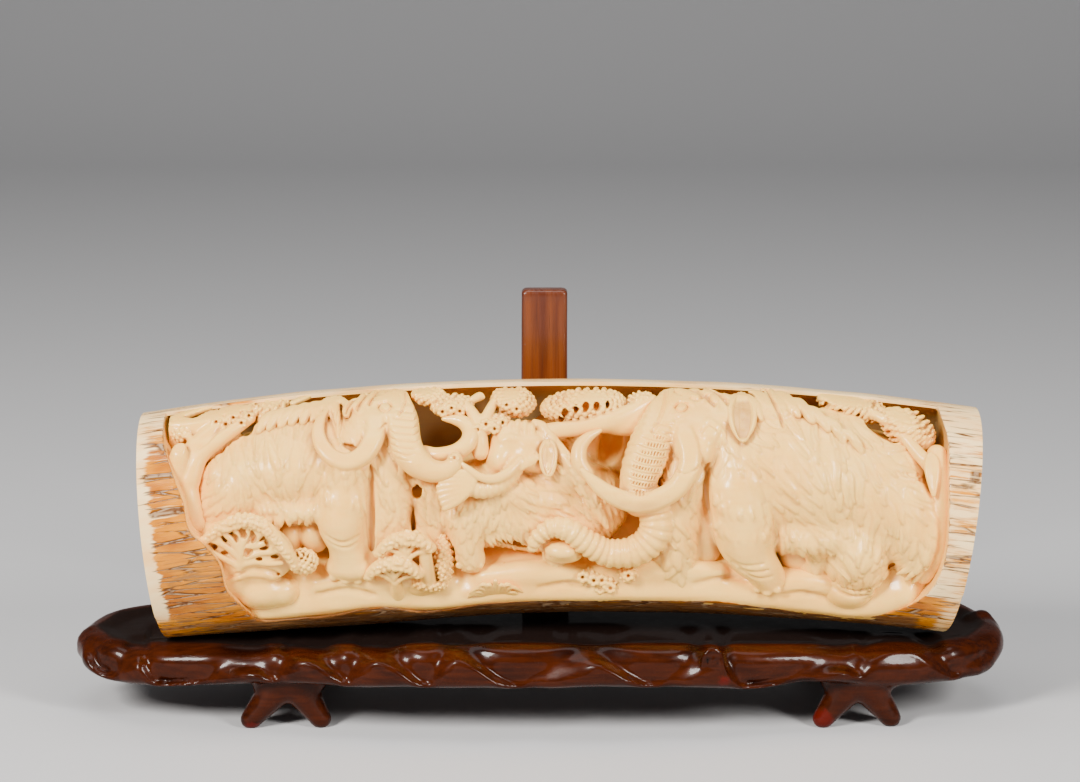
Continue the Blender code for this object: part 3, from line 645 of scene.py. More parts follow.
def beaded_run(clay, points, bead, pitch, rows):
    """Rows of beads along a limb's front."""
    path = relief_path(points, 8)
    steps = np.linalg.norm(np.diff(path[:, :3], axis=0), axis=1)
    along = np.concatenate(([0], np.cumsum(steps)))
    for row in range(rows):
        for n in range(int(along[-1] / pitch)):
            tilt = (row - (rows - 1) / 2 + 0.7 * lattice_value(n, row, 2, 6) - 0.35) * 0.62
            place = (n + 0.5 * (row % 2) + 0.9 * lattice_value(n, row, 4, 6)) * pitch
            *middle, radius = (np.interp(place, along, path[:, axis]) for axis in range(4))
            centre = middle + np.array((0, -radius * math.cos(tilt), radius * math.sin(tilt)))
            size = bead * (0.78 + 0.44 * lattice_value(n, row, 7, 9))
            clay.ball(centre, (size, size, size), 0, 0.22)


def rosettes(clay, size, places):
    """Round florets: six petals about a pit."""
    petal, pit = (0.62 * size, 0.62 * size, 0.8 * size), (0.42 * size, 0.42 * size, 1.3 * size)
    for x, z in places:
        centre = clay.on_face(x, z, 0.1 * size)
        for n in range(6):
            turn = n * math.pi / 3 + 0.4
            offset = np.array((0.95 * math.cos(turn), 0, 0.95 * math.sin(turn)))
            clay.ball(centre + size * offset, petal, 0, 0.25)
        clay.ball(centre + np.array((0, -0.3 * size, 0)), pit, 0, 0.3, cut=True)


def scales(clay, x, z, depth, half, lean, size, count):
    """A cone-like tuft: pointed scales lying one over the next."""
    centre = np.array((x, bark_front(x, z) + depth + 1.6 * size + half[2], z))
    clay.ball(centre, tuple(h - 1.0 for h in half), lean, 1.5)
    for _, aside, place in golden_spiral(centre, half, lean, count, 0.3):
        clay.ball(place, (size * 1.7, size * 0.75, size), lean + 62 + 20 * aside, 0.3)


# ================================================================ the carved figures
def clay_block(low_x, high_x, low_z, high_z, pitch, front_y=-71.0):
    """A block from the bark's front to inside the back wall, fine in front and coarse behind."""
    xs = np.arange(low_x, high_x + pitch, pitch)
    zs = np.arange(low_z, high_z + pitch, pitch)
    ys = np.concatenate((np.arange(front_y, FINE_TO_Y, pitch),
                         np.arange(FINE_TO_Y, BACK_Y + 3.5, 2.0)))
    return Clay(xs, ys, zs)


def left_body(clay):
    """Body and legs."""
    clay.mass(-164.5, 131, 11, (25, 28.5, 34))
    clay.mass(-135, 143, 8, (43, 31, 40), 12)
    clay.mass(-104, 146, 9, (27, 34, 38))
    clay.mass(-121, 162, 7, (32, 22, 30), 22)
    clay.mass(-131, 123, 12, (34, 9.5, 28), blend=4)
    clay.branch((-169.5, 122, 14, 14), (-165, 98, 18, 13), (-164.5, 74.5, 22, 13), coat=1)
    clay.branch((-84, 158, 13, 13), (-80, 138, 15, 11.5), (-79, 118, 17, 9.5),
                (-80, 96, 18, 10), coat=0.8)
    clay.branch((-66, 142, 20, 6), (-62, 126, 20, 5.5), (-61, 108, 20, 6), coat=0.8)
    clay.keep_in_log(5.6, 3.0)
    clay.clear_wall(11)
    # foreleg: furry above, a smooth knee, a slimmer shin and a broad foot
    clay.branch((-104, 146, 7.5, 14), (-105, 130, 7, 13.5), blend=6)
    clay.branch((-105.5, 126, 7.5, 12), (-107, 117.5, 5.4, 12.6), (-104.8, 105, 8.4, 9.6),
                (-102.5, 96, 8.0, 11.0), coat=0.02, blend=3.5)
    clay.mass(-101, 90.5, 6.6, (15.5, 8.0, 14), 0, 3.0, 0)


def left_head(clay):
    """Head, tufts, trunk and the far tusk."""
    # skull, brow and cheek
    clay.mass(-88, 168, 4.5, (17, 14, 24), blend=4, coat=0.02)
    clay.mass(-86, 178, 1.6, (13, 8, 14), -6, blend=4, coat=0.02)
    clay.mass(-99, 160, 7, (10, 10, 14), blend=4, coat=0.02)
    clay.keep_in_log(1.2, 2.0)
    clay.clear_wall(10)
    # tufts over the brow and along the nape
    for x, z in ((-101, 177.5), (-95.5, 179.8), (-89.5, 181.0), (-83.5, 181.4), (-77.5, 181.0)):
        clay.branch((x - 4.5, z - 4.5, 5, 1.4), (x - 1.8, z - 1.0, 1.6, 2.5),
                    (x + 0.6, z + 1.2, 1.0, 2.2), (x + 2.4, z + 1.6, 1.4, 1.2), blend=0.8)
    for n in range(7):
        x, z = -146 + 5.8 * n, 171.5 + 1.5 * n - 0.08 * n * n
        clay.branch((x - 5.5, z - 7.0, 6.0, 1.6), (x - 2.5, z - 2.6, 3.4, 3.0),
                    (x + 0.8, z + 0.2, 2.8, 2.6), (x + 3.0, z + 0.6, 3.4, 1.4), blend=1.0, coat=0.3)
    # trunk: ringed down the face, smooth along the bottom, open at its tip
    clay.branch((-79.5, 178.5, 2.4, 8.6), (-74.6, 171, 1.0, 8.8), (-72.9, 163.5, 0.7, 8.7),
                (-70.8, 156.5, 0.8, 8.2), (-66, 151, 1.4, 7.4), blend=1.6)
    clay.branch((-70.8, 156.5, 0.9, 8.1), (-65.5, 150.4, 1.4, 7.3), (-58, 146.8, 1.8, 6.3),
                (-50.5, 147, 2, 5.3), (-46, 150.2, 2.2, 4.6), (-45.4, 152.6, 2.4, 4.2), blend=2.2)
    for x, z, wide in ((-47.2, 154.6, 1.5), (-43.9, 154.0, 1.5), (-45.6, 157.0, 1.9)):
        clay.spot(x, z, (wide, wide, 1.9), 0.2, 0.5)
    clay.spot(-45.6, 154.4, (0.8, 1.0, 2.2), -0.6, 0.3, cut=True)
    # far tusk, curling over behind the trunk
    clay.branch((-62, 154, 12, 4.0), (-55, 153.2, 9.5, 4.3), (-45.4, 154.8, 8.5, 4.6),
                (-38.9, 159.2, 8, 4.7), (-37.2, 164.6, 8, 4.6), (-40.4, 168.6, 8.5, 4.0),
                (-45.5, 170.3, 9, 2.9), (-52, 170.8, 10, 1.2), blend=0.4)


def left_ear_and_tusk(clay):
    """The ear inside the loop of the near tusk, and the hollows round them."""
    # ear: a rolled arch with a flap hanging inside the near tusk's loop
    clay.branch((-119, 169.5, 3.6, 1.6), (-119.4, 174.6, 2.4, 2.0), (-115.4, 178.6, 1.6, 2.3),
                (-109.6, 179.5, 1.5, 2.3), (-104.8, 177, 2, 2.0), (-104.2, 172.6, 3, 1.7),
                blend=0.5)
    clay.branch((-112, 177, 4.6, 3.4), (-110.6, 172.5, 4.4, 3.2), (-108.8, 167.5, 4.6, 2.2),
                (-108.2, 163.2, 5.2, 1.0), blend=0.8)
    clay.line([(-114, 176.6), (-111.6, 171), (-109.2, 165.6)], 0.7, 0, 0.5, cut=True)
    # near tusk in its sheath
    clay.branch((-88.8, 169.5, 3.6, 6.2), (-88.4, 165.5, 2.0, 6.7), blend=2.0)
    clay.branch((-88.2, 168.5, 1.4, 5.5), (-88.8, 162.7, 0.2, 5.5), (-93.8, 155.2, 0, 5.3),
                (-102.2, 151.3, 0, 5.0), (-110.8, 153.6, 0, 4.6), (-116.9, 159.7, 0, 4.1),
                (-118.9, 165.9, 0.2, 3.4), (-117.9, 170.8, 1.0, 2.6), (-115.4, 174.2, 1.6, 1.5),
                blend=0.3)
    clay.line([(-94.5, 170.2), (-88.5, 166.8), (-82.6, 169.6)], 0.8, 0.1, 0.7, cut=True)
    # hollows inside the loop, beside the trunk and between the legs
    clay.hole(-100.5, 157.6, (5.4, 1.8), 4, -24)
    clay.hole(-65.8, 133, (3.4, 4.6), 12)
    clay.branch((-91, 136, 17, 7), (-90.5, 120, 17, 8), (-90, 100, 17, 9), blend=3)
    clay.line([(-91.6, 148), (-91.4, 133), (-91, 116), (-90.6, 101)], 2.4, 1.5, 1.5, cut=True)


def left_finish(clay):
    """Hair, folds, toes, and the hollow behind the back."""
    # hair over the belly's edge, the leg and the second leg
    fringe(clay, ((-150, 119.5), (-136, 121.5), (-120, 124.5)), 10, 10, 2.0, -1.5, 0.35)
    fringe(clay, ((-116.5, 132), (-106, 128.5), (-95, 131)), 8, 14, 2.1, 1.0, 0.3)
    fringe(clay, ((-116, 141), (-106, 138.5), (-96, 141)), 6, 16, 2.2, 1.5, 0.4)
    fringe(clay, ((-86, 140), (-80, 137), (-73, 140)), 5, 20, 2.0, 1.5, 0.4)
    fringe(clay, ((-86, 122), (-80, 119), (-73, 122)), 5, 18, 1.9, 1.0, 0.4)
    # smooth forms under the belly, knee folds and toes
    clay.mass(-135, 107, 20, (8, 11, 12), -10, 1.5, 0)
    clay.mass(-122.5, 108, 19, (8.5, 11, 12), 14, 1.5, 0)
    clay.line([(-115.5, 112.5), (-106, 108.6), (-97, 111.5)], 0.8, 0, 1.2, cut=True)
    clay.line([(-114, 108.6), (-105.5, 105.2), (-98, 107.6)], 0.7, 0, 1.0, cut=True)
    for x in (-111.5, -105, -98, -91.5):
        clay.spot(x, 84.8 + 0.012 * (x + 101) ** 2, (2.7, 2.1, 1.4), 0.3, 0.4)
    # a tuft at the nape, and the hollow between the back and the bough above it
    clay.branch((-134, 176.5, 3.6, 2.2), (-126, 179.4, 2.6, 3.0), (-117, 181.4, 3.0, 2.4), blend=1.2)
    clay.line([(-183.0, 143.6), (-174.8, 151.4), (-165.0, 158.8), (-156, 164.0)], 3.0, 1.6, 0.8,
              cut=True)
    # one long drop-shaped lock
    clay.line([(-147, 163), (-143.5, 155), (-140.3, 149), (-139.4, 144.5)], 2.7, -0.2, 0.8,
              0.02, taper=0.8)


def left_mammoth(pitch):
    """The mammoth on the left, facing right."""
    clay = clay_block(-200, -32, 62, 190, pitch)
    left_body(clay)
    left_head(clay)
    left_ear_and_tusk(clay)
    left_finish(clay)
    return clay


def calf_body(clay):
    """The web of ivory behind the tusk, the body and the legs."""
    # the pale web of ivory left behind the tusk, with two openings through it
    clay.ball(np.array((33, -6, 157)), (37, 27, 18), -24, 2.0)
    clay.ball(np.array((18.5, -24, 158)), (6.0, 6.5, 13), -20, 2.0, cut=True)
    clay.ball(np.array((38.5, -24, 153)), (6.2, 12.5, 14), -12, 2.0, cut=True)
    clay.mass(-5.5, 115.5, 15, (43, 21, 36), -6)
    clay.mass(-36, 120, 15, (23, 22, 26))
    clay.mass(22, 116, 17, (22, 21, 30))
    clay.mass(-8, 130, 13.5, (46, 17, 34), -12)
    clay.mass(14, 140, 14.5, (20, 13, 26), -48)
    clay.branch((-42, 116.5, 15, 9), (-39, 103, 13, 7.5), (-37.5, 95.5, 12, 8), coat=0.4)
    clay.branch((-57, 134, 18, 6), (-57.5, 112, 19, 5.5), (-56.5, 95, 20, 6), coat=0.5)
    clay.branch((11, 110.5, 18, 8), (8.5, 97, 14, 7), (8.5, 90, 12, 8), coat=0.3)
    clay.keep_in_log(7, 3.0)
    clay.mass(31, 124, 15, (17, 19, 24), 20, 5, 0.7)
    clay.keep_in_log(8.5, 3.0)


def calf_head(clay):
    """Head, crest, mane, cheek and ear."""
    # head: long crown, brow, muzzle and cheek
    clay.mass(-9, 154, 12.5, (16, 13.5, 24), blend=4, coat=0.02)
    clay.mass(-17, 159.5, 10.5, (10, 8.6, 13), 20, blend=4, coat=0.02)
    clay.mass(-21.5, 150, 11.5, (7.5, 10, 12), -14, blend=3.5, coat=0.02)
    clay.mass(-5.5, 150, 10.5, (9.5, 6.5, 11), -16, blend=4, coat=0.02)
    clay.mass(-3.5, 159, 10.5, (8, 6, 10), 0, blend=4, coat=0.02)
    clay.keep_in_log(5.5, 2.0)
    clay.clear_wall(10)
    # crest over the crown, then the mane running down the neck
    for x, z, lean in ((-20.0, 166.4, -1.6), (-16.2, 168.0, -0.8), (-12.4, 168.6, 0.2),
                       (-8.6, 168.2, 1.0), (-5.0, 167.0, 1.8)):
        clay.branch((x + 1.0, z + 1.0, 13.5, 1.2), (x + 0.4, z, 11.0, 2.0),
                    (x + 0.5 * lean, z - 2.6, 10.4, 1.7), (x + lean, z - 5.0, 10.8, 0.8), blend=0.7)
    for n in range(8):
        x, z = 1.5 + 4.0 * n, 166.5 - 4.0 * n - 0.24 * n * n
        clay.branch((x - 4.5, z + 2.5, 14, 1.6), (x, z, 12.0, 3.0), (x + 3.6, z - 5.2, 12.2, 2.6),
                    (x + 6.2, z - 11.5, 13.5, 1.4), blend=1.6, coat=0.7)
    # feathered cheek, then the ear
    for n in range(6):
        x, z = -12.5 + 2.1 * n, 147.6 + 0.9 * n
        clay.branch((x + 0.5, z + 3.2, 10.6, 0.8), (x, z + 0.4, 9.2, 1.3),
                    (x - 1.2, z - 2.6, 10.2, 0.6), blend=0.35)
    clay.mass(4.2, 152.8, 9.0, (4.2, 9.0, 4.0), 2, 0.8, 0)
    outline = np.array([(0.4, 157.6), (2.6, 161.2), (6.4, 161.0), (8.4, 156.6), (8.2, 150.4),
                        (6.4, 145.2), (3.8, 144.2), (1.2, 147.6), (0.2, 152.2)])
    leaf_ear(clay, outline, np.array((4.4, 153.0)), 8.2, 0.9, 0.85)


def calf_trunk(clay):
    """Trunk, tusk, brow, the gap under the belly, hair and toes."""
    # trunk under the tusk, then its ribbed end spread like a fan
    clay.branch((-13, 147.5, 10.5, 5.0), (-17.5, 141.5, 8.8, 5.2), (-24, 137.8, 7.5, 5.2),
                (-31, 136.6, 6.8, 5.4), (-36, 137.6, 6.4, 5.4), blend=1.5, rings=(3.0, 0.5))
    for n in range(8):
        swing = (n - 3.5) / 3.5
        clay.branch((-36 + 1.5 * swing, 140.5 + 3.5 * swing, 5.6, 2.3),
                    (-45 + 1.2 * abs(swing), 139 + 7.4 * swing, 4.8, 2.2),
                    (-54.5 + 3.5 * abs(swing), 137.2 + 10 * swing, 6.0, 1.6), blend=0.35)
    clay.branch((-10.5, 151.5, 9, 2.6), (-15.5, 146.8, 6.5, 2.8), (-23, 143.2, 4.4, 2.7),
                (-31, 143.9, 3.8, 2.3), (-38.5, 148.6, 3.8, 1.7), (-42.4, 151.6, 4.4, 1.0), blend=0.3)
    # a soft brow
    clay.line([(-20.5, 160.6), (-16, 162.4), (-11, 161.0), (-7.5, 157.8)], 1.4, 0.8, 2.4)
    # dark gap under the belly, knee and toes
    clay.hole(-14, 104.5, (10.0, 2.6), 12, -16)
    fringe(clay, ((-30, 108), (-14, 110.5), (0, 105)), 11, 8, 1.4, 2.0, 0.3)
    clay.toes((2.3, 2.0, 1.4), (-43.5, 92.6), (-38, 91.8), (-32.6, 92.6))
    clay.toes((2.0, 1.8, 1.3), (3.8, 84.2), (8.6, 83.6), (13.2, 84.4))


def calf(pitch):
    """The calf in the middle, facing left."""
    clay = clay_block(-64, 56, 74, 176, pitch, front_y=-69)
    calf_body(clay)
    calf_head(clay)
    calf_trunk(clay)
    return clay


def right_body(clay):
    """Body, legs and the bent foreleg."""
    clay.mass(144, 135.5, 6.5, (61.5, 40, 44), -12)
    clay.mass(112, 146, 7, (33, 40, 42))
    clay.mass(186, 124, 9, (31, 40.5, 40), 8)
    clay.mass(128, 170, 6, (26, 18, 28), -8, 5)
    clay.mass(169.5, 152.5, 8, (36, 23, 32), -30)
    clay.mass(150, 108, 10, (34, 14, 26), 0, 5)
    clay.branch((147, 110, 17, 9), (148.5, 94, 17, 8), (148.5, 80, 17, 8.5), coat=0.3)
    clay.branch((80, 146, 12, 15), (74, 122, 11, 12), (72.5, 98, 10, 11.5),
                (74, 82, 8, 13), coat=0.8)
    clay.mass(172.5, 96, 5.5, (17.5, 22, 22), blend=5)
    clay.keep_in_log(5.2, 3.0)
    clay.clear_wall(9)
    clay.mass(69, 76.5, 7.5, (16, 8, 12), -8, 4, 0)
    clay.mass(168.0, 77.5, 5.2, (15.5, 12.0, 15), 0, 3.0, 0.02)
    # foreleg: a hairy thigh, then the bent knee and the foot
    clay.branch((106, 133, 5.4, 17.5), (108, 119, 4.2, 16.2), (110, 108.5, 4.2, 14.2), blend=6)
    clay.branch((108.5, 108, 4.8, 13.2), (112.5, 100, 4.2, 12.4), (119.5, 91.5, 5.0, 10.2),
                (124, 84, 5.8, 9.4), coat=0.02, blend=3.5)


def right_head(clay):
    """Head with its forelock, and the tufts down the back."""
    # head, cheek, forelock and brow
    clay.mass(84.5, 166, 5, (21, 20, 28), blend=5, coat=0.02)
    clay.mass(80, 179, 1.8, (16, 9, 16), 8, blend=4, coat=0.02)
    clay.mass(98, 172, 4, (15, 12, 18), blend=5, coat=0.02)
    clay.mass(124, 174, 3.4, (22, 12, 24), -6, blend=4, coat=0.6)
    clay.keep_in_log(1.2, 2.0)
    clay.clear_wall(9)
    clay.mass(91, 163.5, 2.6, (8.5, 8, 11), -10, blend=3, coat=0)
    clay.mass(88, 155.5, 4.2, (6, 8, 10), 0, blend=3, coat=0)
    for x, z, lean in ((69.0, 181.2, -5), (75.0, 183.2, -4), (82.5, 184.0, 4), (89.5, 183.6, 6),
                       (97, 181.6, 7)):
        clay.branch((x - lean, z - 4.0, 2.4, 1.8), (x - 0.3 * lean, z - 1.2, 0.8, 3.0),
                    (x + 0.5 * lean, z - 0.4, 0.6, 2.6), (x + 1.3 * lean, z - 2.2, 1.6, 1.3),
                    blend=1.0)
    # petal tufts on the hump and down the back
    for n, (x, z) in enumerate(((112, 180.0), (118.5, 181.6), (125.5, 182.0), (132.5, 181.0),
                                (140, 178.4), (148, 174.6), (156.5, 170.0), (165.5, 164.6))):
        size = 1 - 0.05 * n
        clay.branch((x + 6.5, z - 8.5, 4.6, 1.6), (x + 3.6, z - 4.2, 2.2, 3.5 * size),
                    (x + 0.4, z - 0.4, 1.2, 3.7 * size), (x - 2.4, z + 1.0, 1.6, 2.6 * size),
                    (x - 4.4, z + 0.6, 2.6, 1.2), blend=1.0, coat=0.3)


def right_trunk_and_tusks(clay):
    """The trunk's long curl and both tusks."""
    # trunk down to its bend, then the curl along the ground
    clay.branch((73, 177.5, 5, 9.5), (66.8, 170.5, 2.4, 11.2), (60, 159.5, 2.2, 11.9),
                (55, 148, 2.8, 11.4), (52, 137.5, 5.5, 9.6), (53, 129, 8.5, 8.4), blend=3.0,
                rings=(4.1, 0.6))
    clay.branch((53, 136, 9, 8.4), (60.5, 126.5, 6.6, 9.2), (62, 113.5, 3.6, 9.2),
                (52.5, 103, 2.2, 8.8), (37.5, 101.3, 2.2, 7.9), (25.5, 107.5, 2, 7.3),
                (15, 115.2, 2.2, 6.6), (5.5, 116.2, 3, 5.6), (-1.8, 110.2, 4.2, 4.4),
                (-3.8, 105.4, 5.5, 3.4), blend=1.5, rings=(4.1, 0.95))
    # tusks, the near one in its sheath
    clay.branch((25, 144.5, 9, 3.8), (21.0, 150.5, 7.5, 4.3), (21.3, 157.5, 7.5, 4.0),
                (25.5, 162.4, 8.5, 2.9), (32.4, 166, 9.5, 1.2), blend=0.5)
    clay.branch((77, 164.5, 3, 7.6), (79, 157, 1.4, 7.4), blend=2.0)
    clay.branch((77.5, 163, 0.8, 6.4), (80.0, 155.5, 0, 6.2), (78.6, 147, 0, 6.0),
                (71.5, 137.5, 0, 5.7), (60, 131.8, 0, 5.6), (49.5, 131, 0, 5.4),
                (38.5, 135, 0, 4.8), (30.5, 140.6, 0.2, 3.8), (22.6, 148.2, 1.2, 1.7), blend=0.3)
    clay.line([(69.5, 150.5), (77, 146.6), (85.5, 150.5)], 0.7, 0.1, 0.6, cut=True)


def right_ear_and_tail(clay):
    """Ear, rump and tail."""
    clay.branch((106.5, 178, 4.6, 5.0), (108.5, 171.5, 4.8, 4.6), (107, 165.5, 5.0, 2.4),
                blend=1.2)
    outline = np.array([(102.4, 176.4), (105.0, 181.4), (110.4, 182.4), (114.8, 178.4),
                        (114.8, 170.6), (111.6, 165.6), (108.4, 162.6), (104.6, 166.0), (102.4, 171)])
    leaf_ear(clay, outline, np.array((108.6, 172.6)), 0.7, 1.8, 1.3)
    # the tail hugs the rump and ends in a drawn-out lock
    clay.mass(200, 113, 6.0, (14.5, 30, 22), 4, 5)
    for shift, sunk, radius in ((0.0, 0.0, 3.3), (-3.0, 1.0, 2.6), (2.4, 1.6, 2.2)):
        clay.branch((202 + shift, 137, 8 + sunk, radius), (208.4 + shift, 124, 7 + sunk, radius),
                    (209.6 + shift, 110, 6.4 + sunk, radius), (205.6 + shift, 97, 6.6 + sunk, radius * 0.85),
                    (197 + 1.6 * shift, 86.5 - shift, 8.0 + sunk, 0.7), coat=0.35, blend=0.8)
    # the pale wall of the hollow beside the rump
    clay.branch((213.5, 152, 8.5, 5.5), (215, 138, 8, 5.5), (215, 118, 8, 5.5),
                (213, 100, 9, 5.5), (207, 88, 10, 5.5), blend=1.5)


def right_finish(clay):
    """Hair, folds, toes and the hollows between the forms."""
    # hair over the thigh, the belly and the hind leg
    fringe(clay, ((94, 117), (106, 112), (121, 115)), 9, 14, 2.3, 2.5, 0.3)
    fringe(clay, ((94, 129), (106, 125), (121, 128)), 7, 18, 2.4, 2.5, 0.5)
    fringe(clay, ((127, 112), (142, 107), (157, 109)), 10, 11, 2.1, 1.5, 0.3)
    # folds at the knees, and toes
    for shift in (0.0, 4.0, 8.0):
        clay.line([(99 + shift, 101 - shift), (108 + shift, 95.6 - shift),
                         (120 + 0.6 * shift, 96.4 - shift)], 0.75, 0, 1.2, cut=True)
    for shift in (0.0, 3.6):
        clay.line([(158, 84 - shift), (170, 79.6 - shift), (184, 83 - shift)], 0.8, 0, 1.2,
                  cut=True)
    clay.toes((2.8, 2.4, 1.7), (59.5, 74.6), (66.5, 71.4), (74.5, 70.6), (81, 73))
    clay.toes((2.5, 2.2, 1.6), (117.4, 79.4), (122.6, 78.0), (128, 79.6))
    clay.toes((2.8, 2.3, 1.6), (160.5, 67.6), (167.2, 65.6), (174.4, 66), (180.4, 69))
    # hollows, and the ivory seen behind two of them
    clay.hole(189.5, 92.6, (3.4, 1.5), 12, 40)
    clay.hole(138.6, 96.5, (6.5, 8.0), 11, 0)
    clay.mass(139.5, 96.5, 21, (10, 9, 5), 0, 1, 0)
    clay.branch((88, 126, 18, 7), (88, 112, 19, 8), (89, 98, 19, 9), blend=3)
    clay.hole(185.0, 162.8, (11.5, 3.4), 15, -31)
    clay.line([(89.5, 150), (88.5, 138), (90, 124), (94, 112)], 2.2, 1.2, 1.6, cut=True)


def right_mammoth(pitch):
    """The mammoth on the right, facing left."""
    clay = clay_block(-10, 219, 60, 190, pitch)
    right_body(clay)
    right_head(clay)
    right_trunk_and_tusks(clay)
    right_ear_and_tail(clay)
    right_finish(clay)
    return clay


LEFT_MARKS = (
    eye_mark(-83.5, 177.2, -1, 1.05, -6),
    folds_mark(-72.2, 166.0, (9.5, 15.5), -4, 3.25, 1.15, 0.0, -0.004),
    folds_mark(-109.5, 171.0, (4.5, 7.0), 78, 2.6, 0.6),
    stroke_mark(((-104.5, 174.5), (-101.5, 179.0), (-97.0, 182.0)), 0.8, 1.5),
    stroke_mark(((-98.5, 175.5), (-95.0, 180.5), (-90.5, 183.4)), 0.8, 1.5),
    stroke_mark(((-92.0, 178.0), (-89.0, 181.6), (-84.5, 184.0)), 0.8, 1.4),
    stroke_mark(((-84.0, 182.0), (-79.5, 184.2), (-74.5, 184.0)), 0.8, 1.3),
    stroke_mark(((-75.5, 174.5), (-72.5, 179.5), (-73.5, 184.0)), 0.7, 0.9),
)
RIGHT_MARKS = (
    eye_mark(76.2, 177.8, 1, 1.05, 0),
    folds_mark(59.5, 154.5, (11.5, 22.5), -12, 4.3, 1.0, 0.17, -0.002),
    pricks_mark(58.0, 150.6, (9.0, 17.5), -12, 4.3, 1.6, 0.17),
    dish_mark(108.6, 172.2, (6.7, 9.8), 0.04, 1.25, 0.5),
    stroke_mark(((68.5, 184.0), (66.5, 178.0), (63.5, 172.0), (60.0, 167.5)), 0.9, 0.9),
    stroke_mark(((77.0, 186.0), (84.1, 184.0), (89.8, 181.4), (93.8, 178.6)), 1.0, 1.9),
    stroke_mark(((73.0, 183.8), (77.8, 181.6), (83.0, 180.6), (88.0, 181.4)), 0.8, 1.3),
    stroke_mark(((90.0, 185.4), (96.5, 182.8), (101.0, 178.8)), 0.9, 1.6),
    stroke_mark(((95.0, 168.0), (90.0, 170.5), (86.0, 166.5)), 0.8, 0.8),
    stroke_mark(((123.0, 183.5), (127.5, 176.0), (130.5, 168.0)), 0.8, 1.2),
)
CALF_MARKS = (
    eye_mark(-14.8, 157.2, 1, 0.72, -14),
    dish_mark(4.4, 152.6, (4.2, 8.4), 0.02, 0.9, 0.45),
    stroke_mark(((-15.6, 170.0), (-13.8, 166.0), (-10.4, 162.6)), 0.6, 1.0),
    stroke_mark(((-11.8, 170.4), (-8.8, 167.0), (-5.0, 164.6)), 0.6, 1.0),
    stroke_mark(((-8.0, 170.0), (-4.8, 167.4), (-1.0, 165.6)), 0.6, 1.0),
    stroke_mark(((-24.5, 160.0), (-22.0, 154.0), (-24.0, 148.0)), 0.7, 0.8),
)


# ================================================================ foliage and ground
def left_grove(pitch):
    """The tree at the left end with its crown, and the scrub behind the animal's back."""
    clay = clay_block(-201, -128, 100, 184, pitch, front_y=-69)
    clay.branch((-184, 112, 16, 6.0), (-188.5, 128, 13, 6.0), (-191, 144, 11, 6.2),
                (-187, 154, 9.0, 5.2), (-177, 163.0, 8.0, 4.2), (-166, 169.5, 7.2, 3.6), blend=3)
    clay.branch((-187.5, 140, 11, 5.2), (-183.5, 150.5, 9.0, 4.8), (-174, 158.5, 7.4, 4.0),
                (-163.5, 165.4, 6.6, 3.6), (-156.5, 169.2, 6.6, 2.8), blend=3)
    clay.mass(-195, 143, 8.5, (6.0, 18, 5), -8, 0.8, 0)
    clay.mass(-186, 163, 9.5, (22, 14, 7), 16, 2, 0)
    clay.mass(-172, 172, 5.5, (28, 7, 9), 8, 2, 0)
    clay.line([(-183, 156), (-175, 162.4), (-166, 168)], 0.9, 0, 1.6, cut=True)
    clay.branch((-189, 149, 10, 3), (-187.5, 158, 8, 2.2), (-192, 162, 7, 1.6), blend=1)
    clay.clear_wall(8)
    clay.branch((-199.5, 167.5, 3.4, 3.2), (-189, 170.8, 3.4, 3.4), (-178, 173.2, 3.4, 3.2), blend=2)
    beaded_mass(clay, -166.5, 169.6, 4.2, (11.5, 5.6, 9), 10, 1.35, 100)
    rosettes(clay, 2.2, [(-166.5 + dx, 169.6 + dz) for dx, dz in (
        (-8.4, -1.6), (-4.2, 1.4), (-3.4, -3.0), (0.6, 0.2), (5.0, 2.6), (5.4, -1.6), (9.2, 1.4))])
    beaded_mass(clay, -193.5, 161, 4.5, (6.0, 3.8, 8), 0, 1.3, 46)
    scales(clay, -149.5, 171, 6, (13, 5.4, 13), 14, 1.6, 80)
    scales(clay, -179, 163.5, 11, (8.5, 4.0, 9), 25, 1.4, 40)
    return clay


